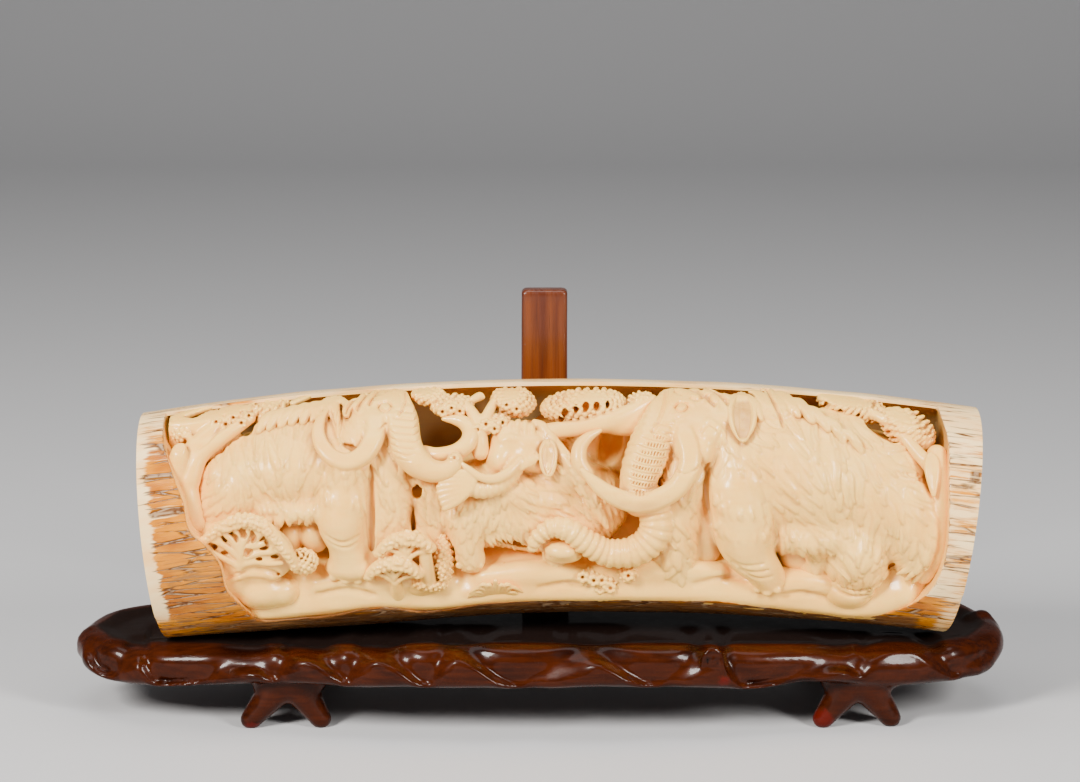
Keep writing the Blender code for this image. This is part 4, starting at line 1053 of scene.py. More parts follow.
def centre_grove(pitch):
    """Berry clusters, the forked tree and the scalloped canopy along the top."""
    clay = clay_block(-75, 66, 148, 190, pitch, front_y=-58)
    # forked tree
    clay.branch((-32, 154, 14, 4.6), (-32.5, 165, 10, 3.8), (-36, 173, 8, 3.2),
                (-42, 178.5, 7, 2.4), blend=1.5)
    clay.branch((-32.5, 164, 10, 3.4), (-28.5, 172.5, 8, 3.0), (-25, 178.5, 6.5, 2.4),
                blend=1.5)
    clay.branch((-36, 179.5, 7, 2.2), (-31, 181.0, 6, 2.6), (-24, 179.5, 7, 2.2), blend=1)
    # bough under the canopy
    clay.branch((2, 163, 14, 5.0), (10, 165, 12, 4.6), (22.5, 166.4, 11, 4.4),
                (37, 169.8, 9, 4.4), (48, 174.0, 8, 4.2), (60.5, 179, 7, 3.4), blend=3)
    clay.branch((34, 168, 13, 5.0), (46, 167, 14, 6.5), (58, 168, 15, 7), blend=4)
    clay.clear_wall(9)
    beaded_mass(clay, -60, 179.6, 3.6, (9.5, 4.4, 10), -4, 1.35, 96)
    beaded_mass(clay, -47.5, 175.8, 3.6, (11, 5.4, 11), 4, 1.5, 110)
    beaded_mass(clay, -14.5, 177.6, 3.2, (11.5, 7.4, 12), -8, 1.5, 140)
    beaded_mass(clay, -27, 167.6, 6.0, (10.5, 4.6, 11), 10, 1.35, 90)
    rosettes(clay, 2.1, ((-33.5, 166.4), (-29.0, 169.2), (-24.4, 167.0), (-20.2, 169.6),
                         (-52.5, 174.6), (-47.6, 176.8), (-43.2, 174.8), (-18.0, 178.2),
                         (-12.6, 176.0)))
    # scalloped canopy with a row of openings
    beaded_mass(clay, 23.5, 175.6, 2.2, (22.5, 8.4, 15), 5, 1.5, 300)
    for x, z, wide in ((11.6, 170.6, 1.6), (13.6, 174.4, 1.9), (19.4, 176.4, 1.6),
                       (24.6, 177.2, 2.1), (30.4, 177.6, 1.8), (36.2, 178.2, 1.4)):
        clay.hole(x, z, (wide, wide * 1.3), 6, -12)
    beaded_mass(clay, 53.5, 179.4, 3.6, (6.5, 3.8, 7), 20, 1.25, 44)
    return clay


def right_grove(pitch):
    """Two scaly crowns over the bough that runs down the right end."""
    clay = clay_block(144, 219, 128, 188, pitch, front_y=-69)
    clay.branch((171, 173, 9, 3.2), (182, 170.5, 8, 2.8), (191, 165.5, 8, 2.8), (198.5, 158.5, 8, 3.2),
                (204, 152.5, 8, 3.6), (209.0, 147.5, 7, 4.0), (210.6, 141, 8, 2.6), blend=1.5)
    clay.branch((183, 173, 10, 2.4), (191, 169.5, 9, 2.2), (197, 163, 9, 2), blend=1)
    clay.clear_wall(7)
    scales(clay, 170, 173.5, 3.2, (18, 6.6, 14), -17, 1.7, 170)
    scales(clay, 199.5, 163, 3.2, (15, 8.6, 14), -36, 1.8, 160)
    for x, z in ((155.5, 176.4), (163, 173.2), (172, 171.2), (180.5, 168.4)):
        clay.hole(x, z, (1.3, 1.0), 4)
    knot = np.array([(206.6, 149), (209.0, 154.2), (212.4, 151), (212.4, 144.5), (211.0, 137.5),
                     (210.0, 134.0), (208.6, 138.0), (207.0, 144)])
    leaf_ear(clay, knot, np.array((209.6, 146.4)), 4.6, 1.5, 1.0)
    return clay


def lattice(clay, ribs, depth, radius):
    """Branching ribs drawn as smooth rods through X, Z points."""
    for rib in ribs:
        count = len(rib)
        points = [(x, z, depth + 0.5 * abs(n - count / 2) / count, radius * (1.25 - 0.5 * n / count))
                  for n, (x, z) in enumerate(rib)]
        clay.branch(*points, blend=0.8)


# Windows through the coral's plate: X, Z, half width, half height and lean in degrees.
CORAL_WINDOWS = (
    (-169.4, 109.4, 2.9, 1.9, 25), (-174.2, 105.4, 2.3, 1.4, 20), (-168.8, 102.2, 2.4, 1.7, 30),
    (-162.2, 111.4, 1.4, 2.7, 14), (-166.0, 113.8, 1.3, 1.6, 30), (-157.4, 112.8, 1.3, 2.1, -8),
    (-152.6, 110.4, 1.4, 2.5, -38), (-156.2, 103.6, 2.3, 3.4, -30), (-148.2, 105.2, 2.7, 1.4, -8),
    (-142.6, 100.4, 2.6, 1.3, -10), (-150.5, 99.2, 2.2, 1.2, 0), (-146.0, 109.2, 1.4, 1.5, -30),
)


def fan_coral(pitch):
    """The umbrella of coral at the lower left, its lattice, trunk and rock."""
    clay = clay_block(-190, -114, 62, 130, pitch, front_y=-71)
    arc = ((-182, 107.5, 6, 1.8), (-174.5, 114.2, 4.4, 2.9), (-166, 119, 3.2, 3.5),
           (-157, 121, 2.6, 3.8), (-148.5, 118.8, 2.6, 3.9), (-141, 111, 3.0, 3.8),
           (-134.5, 101.5, 4.4, 3.4), (-131, 94, 6, 2.2))
    clay.branch(*arc, blend=1)
    beaded_run(clay, arc, 1.2, 2.3, 5)
    clay.mass(-157, 104.5, 7.2, (21.5, 13.5, 6.5), -14, 2, 0)
    clay.mass(-157, 102.5, 9.4, (25.5, 17.5, 5.5), -14, 2, 0)
    clay.mass(-162, 104.5, 13, (24, 16, 5.5), -8, 2, 0)
    lattice(clay, (
        ((-161.5, 92), (-160.6, 99), (-159.6, 106), (-156.5, 113), (-155, 118.5)),
        ((-160.4, 99), (-165.5, 104.5), (-171, 108.4), (-176.5, 110.4)),
        ((-160.2, 102), (-164, 109), (-168.4, 113.6), (-171, 116.2)),
        ((-159.8, 106), (-161.5, 112), (-163.6, 118)),
        ((-158, 103), (-153.4, 108.5), (-149.6, 113), (-147.6, 117)),
        ((-155.5, 106), (-150, 107.4), (-144.5, 110), (-141.5, 112.4)),
        ((-157, 100.5), (-150.5, 102.6), (-144, 103.4), (-138, 104.6)),
        ((-158.5, 96.5), (-152, 97.6), (-145.5, 96.6), (-138.5, 97)),
        ((-163, 96), (-168.5, 99.4), (-173, 101.8), (-178, 105)),
        ((-171, 108.4), (-172.4, 112.4)), ((-149.6, 113), (-152.6, 116.8)),
        ((-144.5, 110), (-145.6, 114.6)), ((-144, 103.4), (-142.6, 108)),
    ), 5.6, 1.6)
    for x, z, wide, tall, lean in CORAL_WINDOWS:
        clay.hole(x, z, (wide, tall), 2.6, lean, 0.5)
    clay.branch((-162, 84, 7, 6.0), (-161.5, 90, 6.4, 4.4), (-161, 96, 6, 3.0), blend=2)
    clay.mass(-151, 78, 3.5, (21, 13.5, 24), -4, 4, 0)
    clay.mass(-139, 77, 6, (11, 11, 18), 6, 2.5, 0)
    clay.mass(-170, 84, 7, (14, 12, 20), 20, 5, 0)
    clay.line([(-170, 85), (-158, 89.6), (-147, 89.0), (-136, 83)], 1.7, 0.4, 1.6)
    clay.line([(-168, 88), (-156, 93.2), (-146, 92.0), (-137, 87)], 1.2, 0, 1.2, cut=True)
    beads(clay, np.array((-127.5, float(bark_front(-127.5, 96)) + 13, 96)), (7.5, 6.5, 5), 0, 1.25, 90)
    clay.mass(-127, 95, 9, (6, 5.6, 7), 0, 2, 0)
    return clay


def twin_coral(pitch):
    """The double umbrella of coral in the middle and the shaded side beside it."""
    clay = clay_block(-98, -42, 68, 120, pitch, front_y=-71)
    top = ((-87, 101.5, 7, 2.4), (-82, 107.0, 5, 3.3), (-74, 111, 3.6, 3.8),
           (-65, 110.4, 3.2, 3.8), (-58, 105.4, 4.6, 2.8))
    low = ((-93, 87.5, 6, 2.4), (-88, 93.4, 4, 3.3), (-80, 96.8, 2.6, 3.8), (-71.5, 95.4, 2.4, 3.8),
           (-65, 89.8, 3.4, 2.8))
    clay.mass(-71, 101, 12, (14, 9, 9), 0, 2, 0)
    clay.mass(-78.5, 87.5, 11, (14, 9, 9), 0, 2, 0)
    clay.mass(-66, 83, 9, (15, 11, 12), 0, 3, 0)
    for arc in (top, low):
        clay.branch(*arc, blend=0.9)
        beaded_run(clay, arc, 1.15, 2.3, 5)
    lattice(clay, (
        ((-71, 95), (-71.5, 100), (-72, 106), (-72.5, 110)),
        ((-71.2, 99), (-76, 102.6), (-80.5, 104.6)), ((-71.5, 102), (-76.4, 107)),
        ((-70.8, 99), (-66, 102.4), (-61.5, 103.8)), ((-71.2, 102.4), (-67.4, 107)),
    ), 5.6, 1.25)
    lattice(clay, (
        ((-78, 79), (-78.4, 85), (-79, 91), (-79.6, 95)),
        ((-78.4, 84), (-83.5, 88.4), (-88, 90.6)), ((-78.6, 87), (-83.4, 92.6)),
        ((-78.2, 84), (-73, 87.6), (-68.4, 88.6)), ((-78.4, 87.6), (-74.4, 92)),
    ), 4.8, 1.25)
    clay.branch((-62, 104, 6, 3.6), (-61, 94, 6, 3.8), (-60.5, 86, 6, 4.4), blend=1.5)
    clay.branch((-78, 84, 5, 2.4), (-77.5, 79, 5, 4.0), (-77.5, 74, 5, 5.6), blend=1.5)
    beaded_mass(clay, -60.5, 82, 3.6, (10.5, 4.0, 7), -6, 1.1, 90)
    beaded_mass(clay, -52.5, 96, 8, (5.6, 13.5, 10), 4, 1.1, 130)
    return clay


def ground(pitch):
    """Three soft swells of ground with a few small growths."""
    clay = clay_block(-205, 213, 56, 124, pitch, front_y=-71)
    clay.branch((-150, 65, 4, 9), (-112, 70, 3.4, 9), (-88, 74, 4, 8.5), (-58, 70, 3.4, 8.5),
                (-22, 76, 3, 8.5), (20, 77, 3, 8.5), (60, 77.5, 3, 8), (97, 76.5, 4, 8.5),
                (141, 71, 4, 9), (172, 65.5, 3.4, 8.5), (198, 76, 5, 8), blend=5)
    clay.branch((-172, 78, 14, 16), (-110, 80, 15, 15), (-60, 80, 16, 15), (0, 83, 14, 15),
                (60, 84, 14, 14), (110, 82, 15, 15), (160, 78, 15, 16), (206, 88, 16, 13), blend=8)
    clay.branch((-186, 100, 38, 27), (-110, 98, 40, 27), (-50, 98, 40, 27), (0, 100, 40, 27),
                (60, 100, 40, 27), (110, 98, 40, 27), (160, 96, 40, 27), (208, 106, 36, 21), blend=8)
    # soft ledges that the animals stand on
    for low_x, high_x, z, depth in ((-120, -52, 84, 9), (-30, 30, 88, 8), (34, 96, 90, 9),
                                    (118, 158, 82, 9), (-186, -160, 96, 13)):
        clay.branch((low_x, z - 3, depth + 2, 5), ((low_x + high_x) / 2, z, depth, 7),
                    (high_x, z - 2, depth + 2, 5), blend=6)
    for points in (((-120, 76), (-104, 79), (-90, 76)), ((0, 80), (14, 83), (26, 80)),
                   ((84, 82), (98, 85.5), (112, 83)), ((128, 74.5), (142, 77), (156, 73))):
        clay.line(points, 1.2, 0.2, 2.5, cut=True)
    return clay


def small_growths(pitch):
    """The held fruit, the coral rosettes and the swirl of grass in front of the middle."""
    clay = clay_block(-42, 58, 66, 112, pitch, front_y=-71)
    clay.mass(11.5, 103, 2.4, (9.2, 5.2, 8), -4, 1, 0)
    clay.mass(12.5, 99.6, 5, (10.5, 4.5, 8), 0, 1.5, 0)
    beaded_mass(clay, 26, 86, 4.5, (7.5, 5.2, 8), 0, 1.25, 60)
    beaded_mass(clay, 36.5, 82.5, 3, (8.5, 6.5, 9), 0, 1.35, 80)
    beaded_mass(clay, 47.5, 88.5, 3.4, (5.4, 4.6, 6), 0, 1.2, 46)
    rosettes(clay, 2.3, ((23, 87), (29, 85), (33.4, 85.0), (32.6, 79.8), (38.0, 80.4),
                         (40.6, 84.6), (47.5, 88.6)))
    for n in range(11):
        swing = -1.45 + 0.29 * n
        reach = 14.5 - 1.1 * abs(n - 5) + 3.0 * lattice_value(n, 5, 2, 8)
        x, z = -24 + 1.1 * (n - 5), 73.0
        clay.branch((x, z, 4.4, 1.6),
                    (x + 0.45 * reach * math.sin(swing), z + 0.75 * reach * math.cos(swing * 0.7),
                     2.6, 1.3),
                    (x + reach * math.sin(swing * 1.15), z + 0.5 * reach * math.cos(swing), 3.4, 0.6),
                    blend=0.3)
    return clay


# ================================================================ combing the coats
# A flow's points are X, Z, direction in degrees from hanging straight down (positive leans
# towards +X), and length of the locks there. Then come the locks' width, height and spacing, and
# how far the skin may turn from the front and still grow them.
Flow = namedtuple("Flow", "points width depth pitch front")
THIN_COAT = 0.08  # where the coat is thinner than this the skin is bare
LEFT_FLOW = Flow(((-185, 150, -28, 15), (-190, 120, -14, 13), (-165, 168, -30, 15),
                  (-150, 150, -10, 17), (-140, 125, -4, 13), (-120, 165, 14, 15),
                  (-110, 140, 4, 15), (-85, 140, -4, 13), (-80, 115, -4, 12)),
                 6.0, 1.25, 4.6, -0.1)
CALF_FLOW = Flow(((-50, 120, -6, 9), (-20, 135, 24, 11), (10, 145, 46, 12), (-10, 118, 36, 11),
                  (30, 120, 34, 10), (20, 100, 20, 9)),
                 4.6, 1.25, 3.8, -0.1)
RIGHT_FLOW = Flow(((105, 165, 10, 16), (100, 140, -6, 18), (72, 130, -4, 14), (72, 100, -2, 12),
                   (125, 175, 44, 20), (130, 150, 16, 22), (128, 122, 2, 18), (160, 165, 56, 22),
                   (155, 140, 26, 22), (155, 112, 8, 18), (185, 150, 50, 22), (182, 125, 30, 20),
                   (178, 95, -14, 15), (205, 130, 24, 18), (206, 110, 2, 14), (196, 95, -36, 12)),
                  7.0, 1.7, 5.4, -0.05)


def flow_at(flow, x, z):
    """Direction and length of the fur at one place, from the nearest guides."""
    rows = np.array(flow.points)
    near = 1 / ((rows[:, 0] - x) ** 2 + (rows[:, 1] - z) ** 2 + 30) ** 1.5
    return [float((near * rows[:, column]).sum() / near.sum()) for column in (2, 3)]


def lock_roots(flow, low, high):
    """Places on a jittered grid, from the bottom row up so that each row lies on the last."""
    roots = []
    rows = int((high[1] - low[1]) / (flow.pitch * 1.7))
    columns = int((high[0] - low[0]) / flow.pitch)
    for row in range(rows):
        for column in range(columns):
            jitter = RNG.uniform(-0.42, 0.42, 2) * flow.pitch
            roots.append((low[0] + (column + 0.5 * (row % 2)) * flow.pitch + jitter[0],
                          low[1] + row * flow.pitch * 1.7 + jitter[1]))
    return roots


def random_lock(flow, x, z):
    """One lock: the way it hangs, length, width, bend, height and lopsidedness."""
    angle, length = flow_at(flow, x, z)
    angle += RNG.normal(0, 5)
    length *= RNG.uniform(0.75, 1.3)
    width = flow.width * RNG.uniform(0.75, 1.3)
    bend = (0.15 * math.sin(x / 11 + z / 17) + RNG.uniform(-0.05, 0.05)) * length
    peak = RNG.uniform(0.6, 1.15)
    skew = RNG.uniform(-0.35, 0.35)
    turn = math.radians(angle)
    return np.array((math.sin(turn), -math.cos(turn))), length, width, bend, peak, skew


def combed(points, normals, coat, flow):
    """Lifts the coat's points into overlapping locks, and gives their hair coordinates."""
    furry = np.nonzero((coat > THIN_COAT) & (normals[:, 1] < flow.front))[0]
    order = furry[np.argsort(points[furry, 0])]
    px, pz = points[order, 0], points[order, 2]
    lift = np.full(len(order), 0.3)
    hair = np.zeros((len(order), 3))
    for number, (x, z) in enumerate(lock_roots(flow, (px.min(), pz.min()), (px.max(), pz.max() + 8))):
        down, length, width, bend, peak, skew = random_lock(flow, x, z)
        reach = length + width
        first = np.searchsorted(px, x - reach)
        last = np.searchsorted(px, x + reach)
        dx, dz = px[first:last] - x, pz[first:last] - z
        along = (dx * down[0] + dz * down[1]) / length
        inside = np.nonzero((along > 0) & (along < 1))[0]
        if len(inside) == 0:
            continue
        t = along[inside]
        aside = dx[inside] * down[1] - dz[inside] * down[0]
        spine = bend * np.sin(t * math.pi * 1.6)
        half = width * 0.5 * np.clip(np.sin(math.pi * t ** 0.6) ** 0.6, 0.001, 1)
        across = (aside - spine) / half
        hit = np.abs(across) < 1
        if not hit.any():
            continue
        t, across, inside = t[hit], across[hit], inside[hit]
        leaning = across * (1 - skew * across)
        height = peak * np.clip(1 - leaning ** 2, 0, 1) ** 0.8
        height *= (0.3 + 0.7 * smooth_step(t / 0.8)) * np.clip((1 - t) * 9, 0, 1)
        spot = first + inside
        covered = smooth_step((1 - np.abs(across)) * 3.5) * smooth_step(t * 5)
        lift[spot] = lift[spot] * (1 - covered) + np.maximum(height, 0.12) * covered
        taken = covered > 0.5
        hair[spot[taken], 0] = across[taken] * width * 0.5
        hair[spot[taken], 1] = t[taken] * length
        hair[spot[taken], 2] = (number * 7.31) % 97
    strength = np.clip((coat[order] - THIN_COAT) / 0.35, 0, 1)
    strength *= np.clip((flow.front - normals[order, 1]) / 0.3, 0, 1)
    strands = noise(hair * np.array((0.75, 0.075, 1.0)), 1.0, 31)
    total = flow.depth * lift + 0.22 * strands
    moved = points.copy()
    moved[order] += normals[order] * (total * strength)[:, None]
    strand = np.zeros((len(points), 3))
    strand[order] = hair
    cover = np.zeros(len(points))
    cover[order] = strength * np.clip(lift, 0, 1)
    furrow = np.zeros(len(points))
    furrow[order] = strength * (1 - smooth_step((lift - 0.1) / 0.5))
    return moved, strand, cover, furrow


def hollowness(clay, points, normals):
    """From 0 on open faces to 1 in deep crevices."""
    open_share = np.zeros(len(points))
    for reach, weight in ((1.5, 0.3), (3.5, 0.35), (7.0, 0.35)):
        field = clay.sample(clay.solid, points + normals * reach)
        open_share += weight * np.clip(field / reach, 0, 1)
    return 1 - open_share


def kept_inside(points):
    """Pulls points that stand out of the log back under its bark."""
    x, y, z = points.T
    across = (y - CROWN_Y) / (LOG_HALF_DEPTH - SURFACE_INSET)
    up = (z - log_centre(x)) / (log_half_height(x) - SURFACE_INSET)
    reach = np.maximum(1, np.hypot(across, up))
    return np.stack((x, CROWN_Y + (y - CROWN_Y) / reach,
                     log_centre(x) + (z - log_centre(x)) / reach), axis=1)


def carve(name, clay, material, triangles, flow=None, marks=()):
    """Skins a block of clay, combs it if it has a coat, and makes its piece."""
    clay.keep_in_log()
    points, faces = clay.skin()
    normals = point_normals(points, faces)
    hollow = hollowness(clay, points, normals)
    strand = np.zeros_like(points)
    cover = np.zeros(len(points))
    if flow:
        coat = clay.sample(clay.coat, points)
        points, strand, cover, furrow = combed(points, normals, coat, flow)
        # painted shade: the furrows between the locks are added to the hollow attribute, which the material
        # paints darker
        hollow = np.clip(hollow + 0.22 * furrow, 0, 1)
    points = kept_inside(points)
    piece = mesh_object(name, points, faces, material, hollow=hollow, strand=strand, fur=cover)
    close_holes(piece)
    if marks:
        engrave(piece, marks)
    thin_out(piece, triangles)
    return piece


# ================================================================ the tusk's shell
# Rim of the trough seen from the front, in X and Z, from the top left round by the bottom.
TROUGH_RIM = (
    (-206, 215), (-204, 168), (-198, 149), (-190, 131), (-187, 117), (-179, 109), (-171, 98),
    (-168, 82), (-158, 67), (-150, 61), (-114, 63), (-87, 69), (-60, 65), (-22, 71), (43, 73),
    (97, 72), (141, 65), (169, 61), (185, 64), (204, 75), (213, 89), (217, 109), (218, 143),
    (219, 161), (216, 177), (214, 215),
)
LOG_STATIONS, FRONT_SIDES, BACK_SIDES = 300, 127, 71
HOLLOW_STATIONS, HOLLOW_SIDES = 90, 120
RIM_ANGLE = 0.6  # edges sharper than this, in radians, are worn round
END_RINGS = (0.03, 0.2, 0.36, 0.5, 0.62, 0.72, 0.8, 0.87, 0.92, 0.96, 0.985)


def log_rows(stations, angles, top_wall=0.0, back_wall=0.0):
    """Points of the arched log: rings along it, and rings closing in on both ends."""
    ends = np.ones(len(END_RINGS))
    turns = np.concatenate((-ends, np.linspace(-1, 1, stations), ends))
    shrink = np.concatenate((END_RINGS, np.ones(stations), END_RINGS[::-1]))
    angle = turns * LOG_HALF_LENGTH / ARCH_RADIUS
    x = CROWN_X + ARCH_RADIUS * np.sin(angle)
    slope = ARCH_LEAN - (x - CROWN_X) / ARCH_RADIUS
    length = np.hypot(1, slope)
    radius = log_half_height(x) - top_wall
    up = shrink[:, None] * radius[:, None] * np.cos(angles)[None, :]
    px = x[:, None] - (slope / length)[:, None] * up
    pz = log_centre(x)[:, None] + (1 / length)[:, None] * up
    py = CROWN_Y + shrink[:, None] * (LOG_HALF_DEPTH - back_wall) * np.sin(angles)[None, :]
    half = log_half_height(px)
    below = np.maximum(0, (log_centre(px) - pz) / half)
    pz = pz - LOG_SWELL * below * np.exp(-((px - LOG_SWELL_X) / LOG_SWELL_REACH) ** 2)
    near_end = np.clip(1 - (px - CROWN_X + LOG_HALF_LENGTH) / LEFT_CUT_REACH, 0, 1)
    px = px - LEFT_CUT_EASE * near_end * (log_centre(px) - pz)
    return np.stack((px, py + 0 * px, pz), axis=2)


def tube_faces(rows, sides):
    """Faces between rings, facing out when the rings run along +X from the top to the back."""
    first = np.arange((rows - 1) * sides).reshape(rows - 1, sides)
    second = np.roll(first, -1, axis=1)
    return np.stack((first, first + sides, second + sides, second), axis=2).reshape(-1, 4)


def rind(points):
    """The bark's own surface: soft waves, and fissures that run along the tusk."""
    x, y, z = points.T
    around = np.stack((x * 0.045, y * 0.42, (z - log_centre(x)) * 0.42), axis=1)
    crack = np.abs(noise(around, 1.0, 3))
    fissure = np.clip(1 - crack / 0.09, 0, 1) * smooth_step(rind_age(points) * 1.6 - 0.5)
    swell = 0.5 + 0.5 * noise(points, 26.0, 5)
    dip = 0.1 + 0.45 * swell + 0.75 * fissure
    centre = np.stack((x, np.full_like(x, CROWN_Y), log_centre(x)), axis=1)
    away = points - centre
    away /= np.linalg.norm(away, axis=1, keepdims=True) + 1e-9
    return points - away * dip[:, None]


def rind_age(points):
    """How weathered the bark is: from 0, cream, through orange, to 1, brown and fissured."""
    x, y, z = points.T
    up = (z - log_centre(x)) / LOG_HALF_HEIGHT
    from_left = x - (CROWN_X - LOG_HALF_LENGTH) + 9.4 * up
    from_right = (CROWN_X + LOG_HALF_LENGTH) + 8.6 * up - x
    back = smooth_step((y + 4) / 26)
    left = smooth_step((from_left - 2.5) / 9) * (0.56 + 0.3 * smooth_step((0.35 - up) / 0.7))
    left *= 1 - 0.5 * smooth_step((from_left - 40) / 20) * smooth_step((up - 0.3) / 0.3)
    right = 0.3 + 0.45 * smooth_step((-0.4 - up) / 0.3) * smooth_step((from_right - 5) / 14)
    bottom = smooth_step((-0.64 - up) / 0.16) * smooth_step((from_right - 4) / 20)
    bottom *= 0.9 + 0.22 * smooth_step((from_left - 20) / 40)
    side = np.where(x < 0, left * smooth_step((-x - 120) / 40), right * smooth_step((x - 150) / 40))
    age = np.maximum(np.maximum(side, bottom), 0.72 * back)
    top = smooth_step((up - 0.78) / 0.12) * (1 - 0.6 * back)
    return age * (1 - 0.75 * top) + 0.05 + 0.14 * top


def boolean(obj, other, operation):
    change = obj.modifiers.new(operation.lower(), "BOOLEAN")
    change.operation = operation
    change.solver = "MANIFOLD"
    change.object = other
    bake(obj)
    bpy.data.objects.remove(other, do_unlink=True)


def closed_grid(name, points, sides):
    made = mesh_object(name, points.reshape(-1, 3), tube_faces(points.shape[0], sides))
    close_holes(made)
    return made


def box_object(name, low, high):
    low, high = Vector(low) * MM, Vector(high) * MM
    place = Matrix.Translation((low + high) / 2) @ Matrix.Diagonal((*(high - low), 1))
    mesh = bpy.data.meshes.new(name)
    with edited(mesh) as work:
        bmesh.ops.create_cube(work, size=1.0)
        bmesh.ops.transform(work, matrix=place, verts=work.verts)
    return linked(name, mesh)


def trough_cutter():
    """What is hollowed out: the rim's wavy outline run through to a rounded back wall."""
    rim = smooth_path(TROUGH_RIM, 10)
    rim[:, 1] += 0.7 * noise(np.stack((rim[:, 0], 0 * rim[:, 0], rim[:, 1]), 1), 9.0, 11)
    levels = np.arange(-100, 42, 3.0)
    points = np.stack([np.column_stack((rim[:, 0], np.full(len(rim), level), rim[:, 1]))
                       for level in levels])
    prism = closed_grid("trough", points, len(rim))
    angles = np.linspace(0, 2 * math.pi, HOLLOW_SIDES + 1)[:-1]
    rows = log_rows(HOLLOW_STATIONS, angles, TOP_WALL, BACK_WALL)
    hollow = closed_grid("hollow", rows, HOLLOW_SIDES)
    boolean(hollow, box_object("front", (-260, -140, 30), (280, TOP_EDGE_Y, 230)), "UNION")
    boolean(prism, hollow, "INTERSECT")
    return prism


def soften_rim(obj):
    """Rounds the carved edge where the trough breaks through the bark."""
    with edited(obj.data) as work:
        edge = set()
        for line in work.edges:
            if len(line.link_faces) == 2 and line.calc_face_angle(0) > RIM_ANGLE:
                x, y, _ = (c / MM for c in (line.verts[0].co + line.verts[1].co) / 2)
                if y < 5 and abs(x - CROWN_X) < LOG_HALF_LENGTH - 5:
                    edge.update(line.verts)
        near = set(edge)
        for vert in edge:
            for line in vert.link_edges:
                near.add(line.other_vert(vert))
        for _ in range(4):
            bmesh.ops.smooth_vert(work, verts=list(near), factor=0.5,
                                  use_axis_x=True, use_axis_y=True, use_axis_z=True)


def tusk_shell(material):
    """The log with its bark, hollowed by the trough."""
    front = np.linspace(math.pi, 2 * math.pi, FRONT_SIDES + 1)[:-1]
    back = np.linspace(0, math.pi, BACK_SIDES + 1)[:-1]
    angles = np.concatenate((back, front))
    rows = log_rows(LOG_STATIONS, angles)
    rough = rind(rows.reshape(-1, 3)).reshape(rows.shape)
    rings = len(END_RINGS)
    rows[rings:-rings] = rough[rings:-rings]
    shell = closed_grid("tusk_shell", rows, len(angles))
    boolean(shell, trough_cutter(), "DIFFERENCE")
    soften_rim(shell)
    mesh = shell.data
    points = vectors_of(mesh.vertices, "co") / MM
    x, y, z = points.T
    slope = ARCH_LEAN - (x - CROWN_X) / ARCH_RADIUS
    along = (x - CROWN_X) + slope * (z - log_centre(x))
    add_attributes(mesh, {
        "bark": smooth_step((outside_log(x, y, z, 0) + 2.4) / 1.2),
        "age": rind_age(points),
        # how far behind the bark's front: the material paints shade by it deep in the trough
        "hollow": np.clip((y - bark_front(x, z)) / 60, 0, 1),
        "grain": np.stack((along, y, z - log_centre(x)), axis=1),
    })
    mesh.materials.clear()
    mesh.materials.append(material)
    mesh.shade_smooth()
    mesh.set_sharp_from_angle(angle=math.radians(50))
    return shell


# ================================================================ the stand
BASE_RIM = (
    (-248, -2, 33, 11), (-236, -24, 32, 11), (-206, -36, 31.5, 11.5), (-160, -46, 33.5, 12),
    (-110, -55, 37, 12), (-55, -61, 39.5, 12.2), (0, -62, 40, 12.2), (55, -61, 39.5, 12.2),
    (110, -56, 37.5, 12), (160, -47, 34.5, 12), (206, -37, 32.5, 11.5), (236, -24, 33, 11),
    (249, 0, 35, 10.5), (243, 24, 36, 10), (222, 42, 38, 11), (160, 53, 37, 12),
    (100, 60, 36, 12), (50, 63, 36, 12.5), (0, 64, 36, 13), (-50, 63, 36, 12.5),
    (-100, 60, 36, 12), (-160, 53, 35, 12), (-210, 42, 34.5, 11), (-238, 24, 34.5, 11),
)
TRAY_BOTTOM, TRAY_TOP = 23.0, 39.5
TRAY_RISE, TRAY_REACH = 8.5, 262.0  # the tray's top is arched, as the rim is
RIM_DROP, RIM_DROP_REACH = 4.0, 150.0  # how much deeper the front of the rim is in the middle
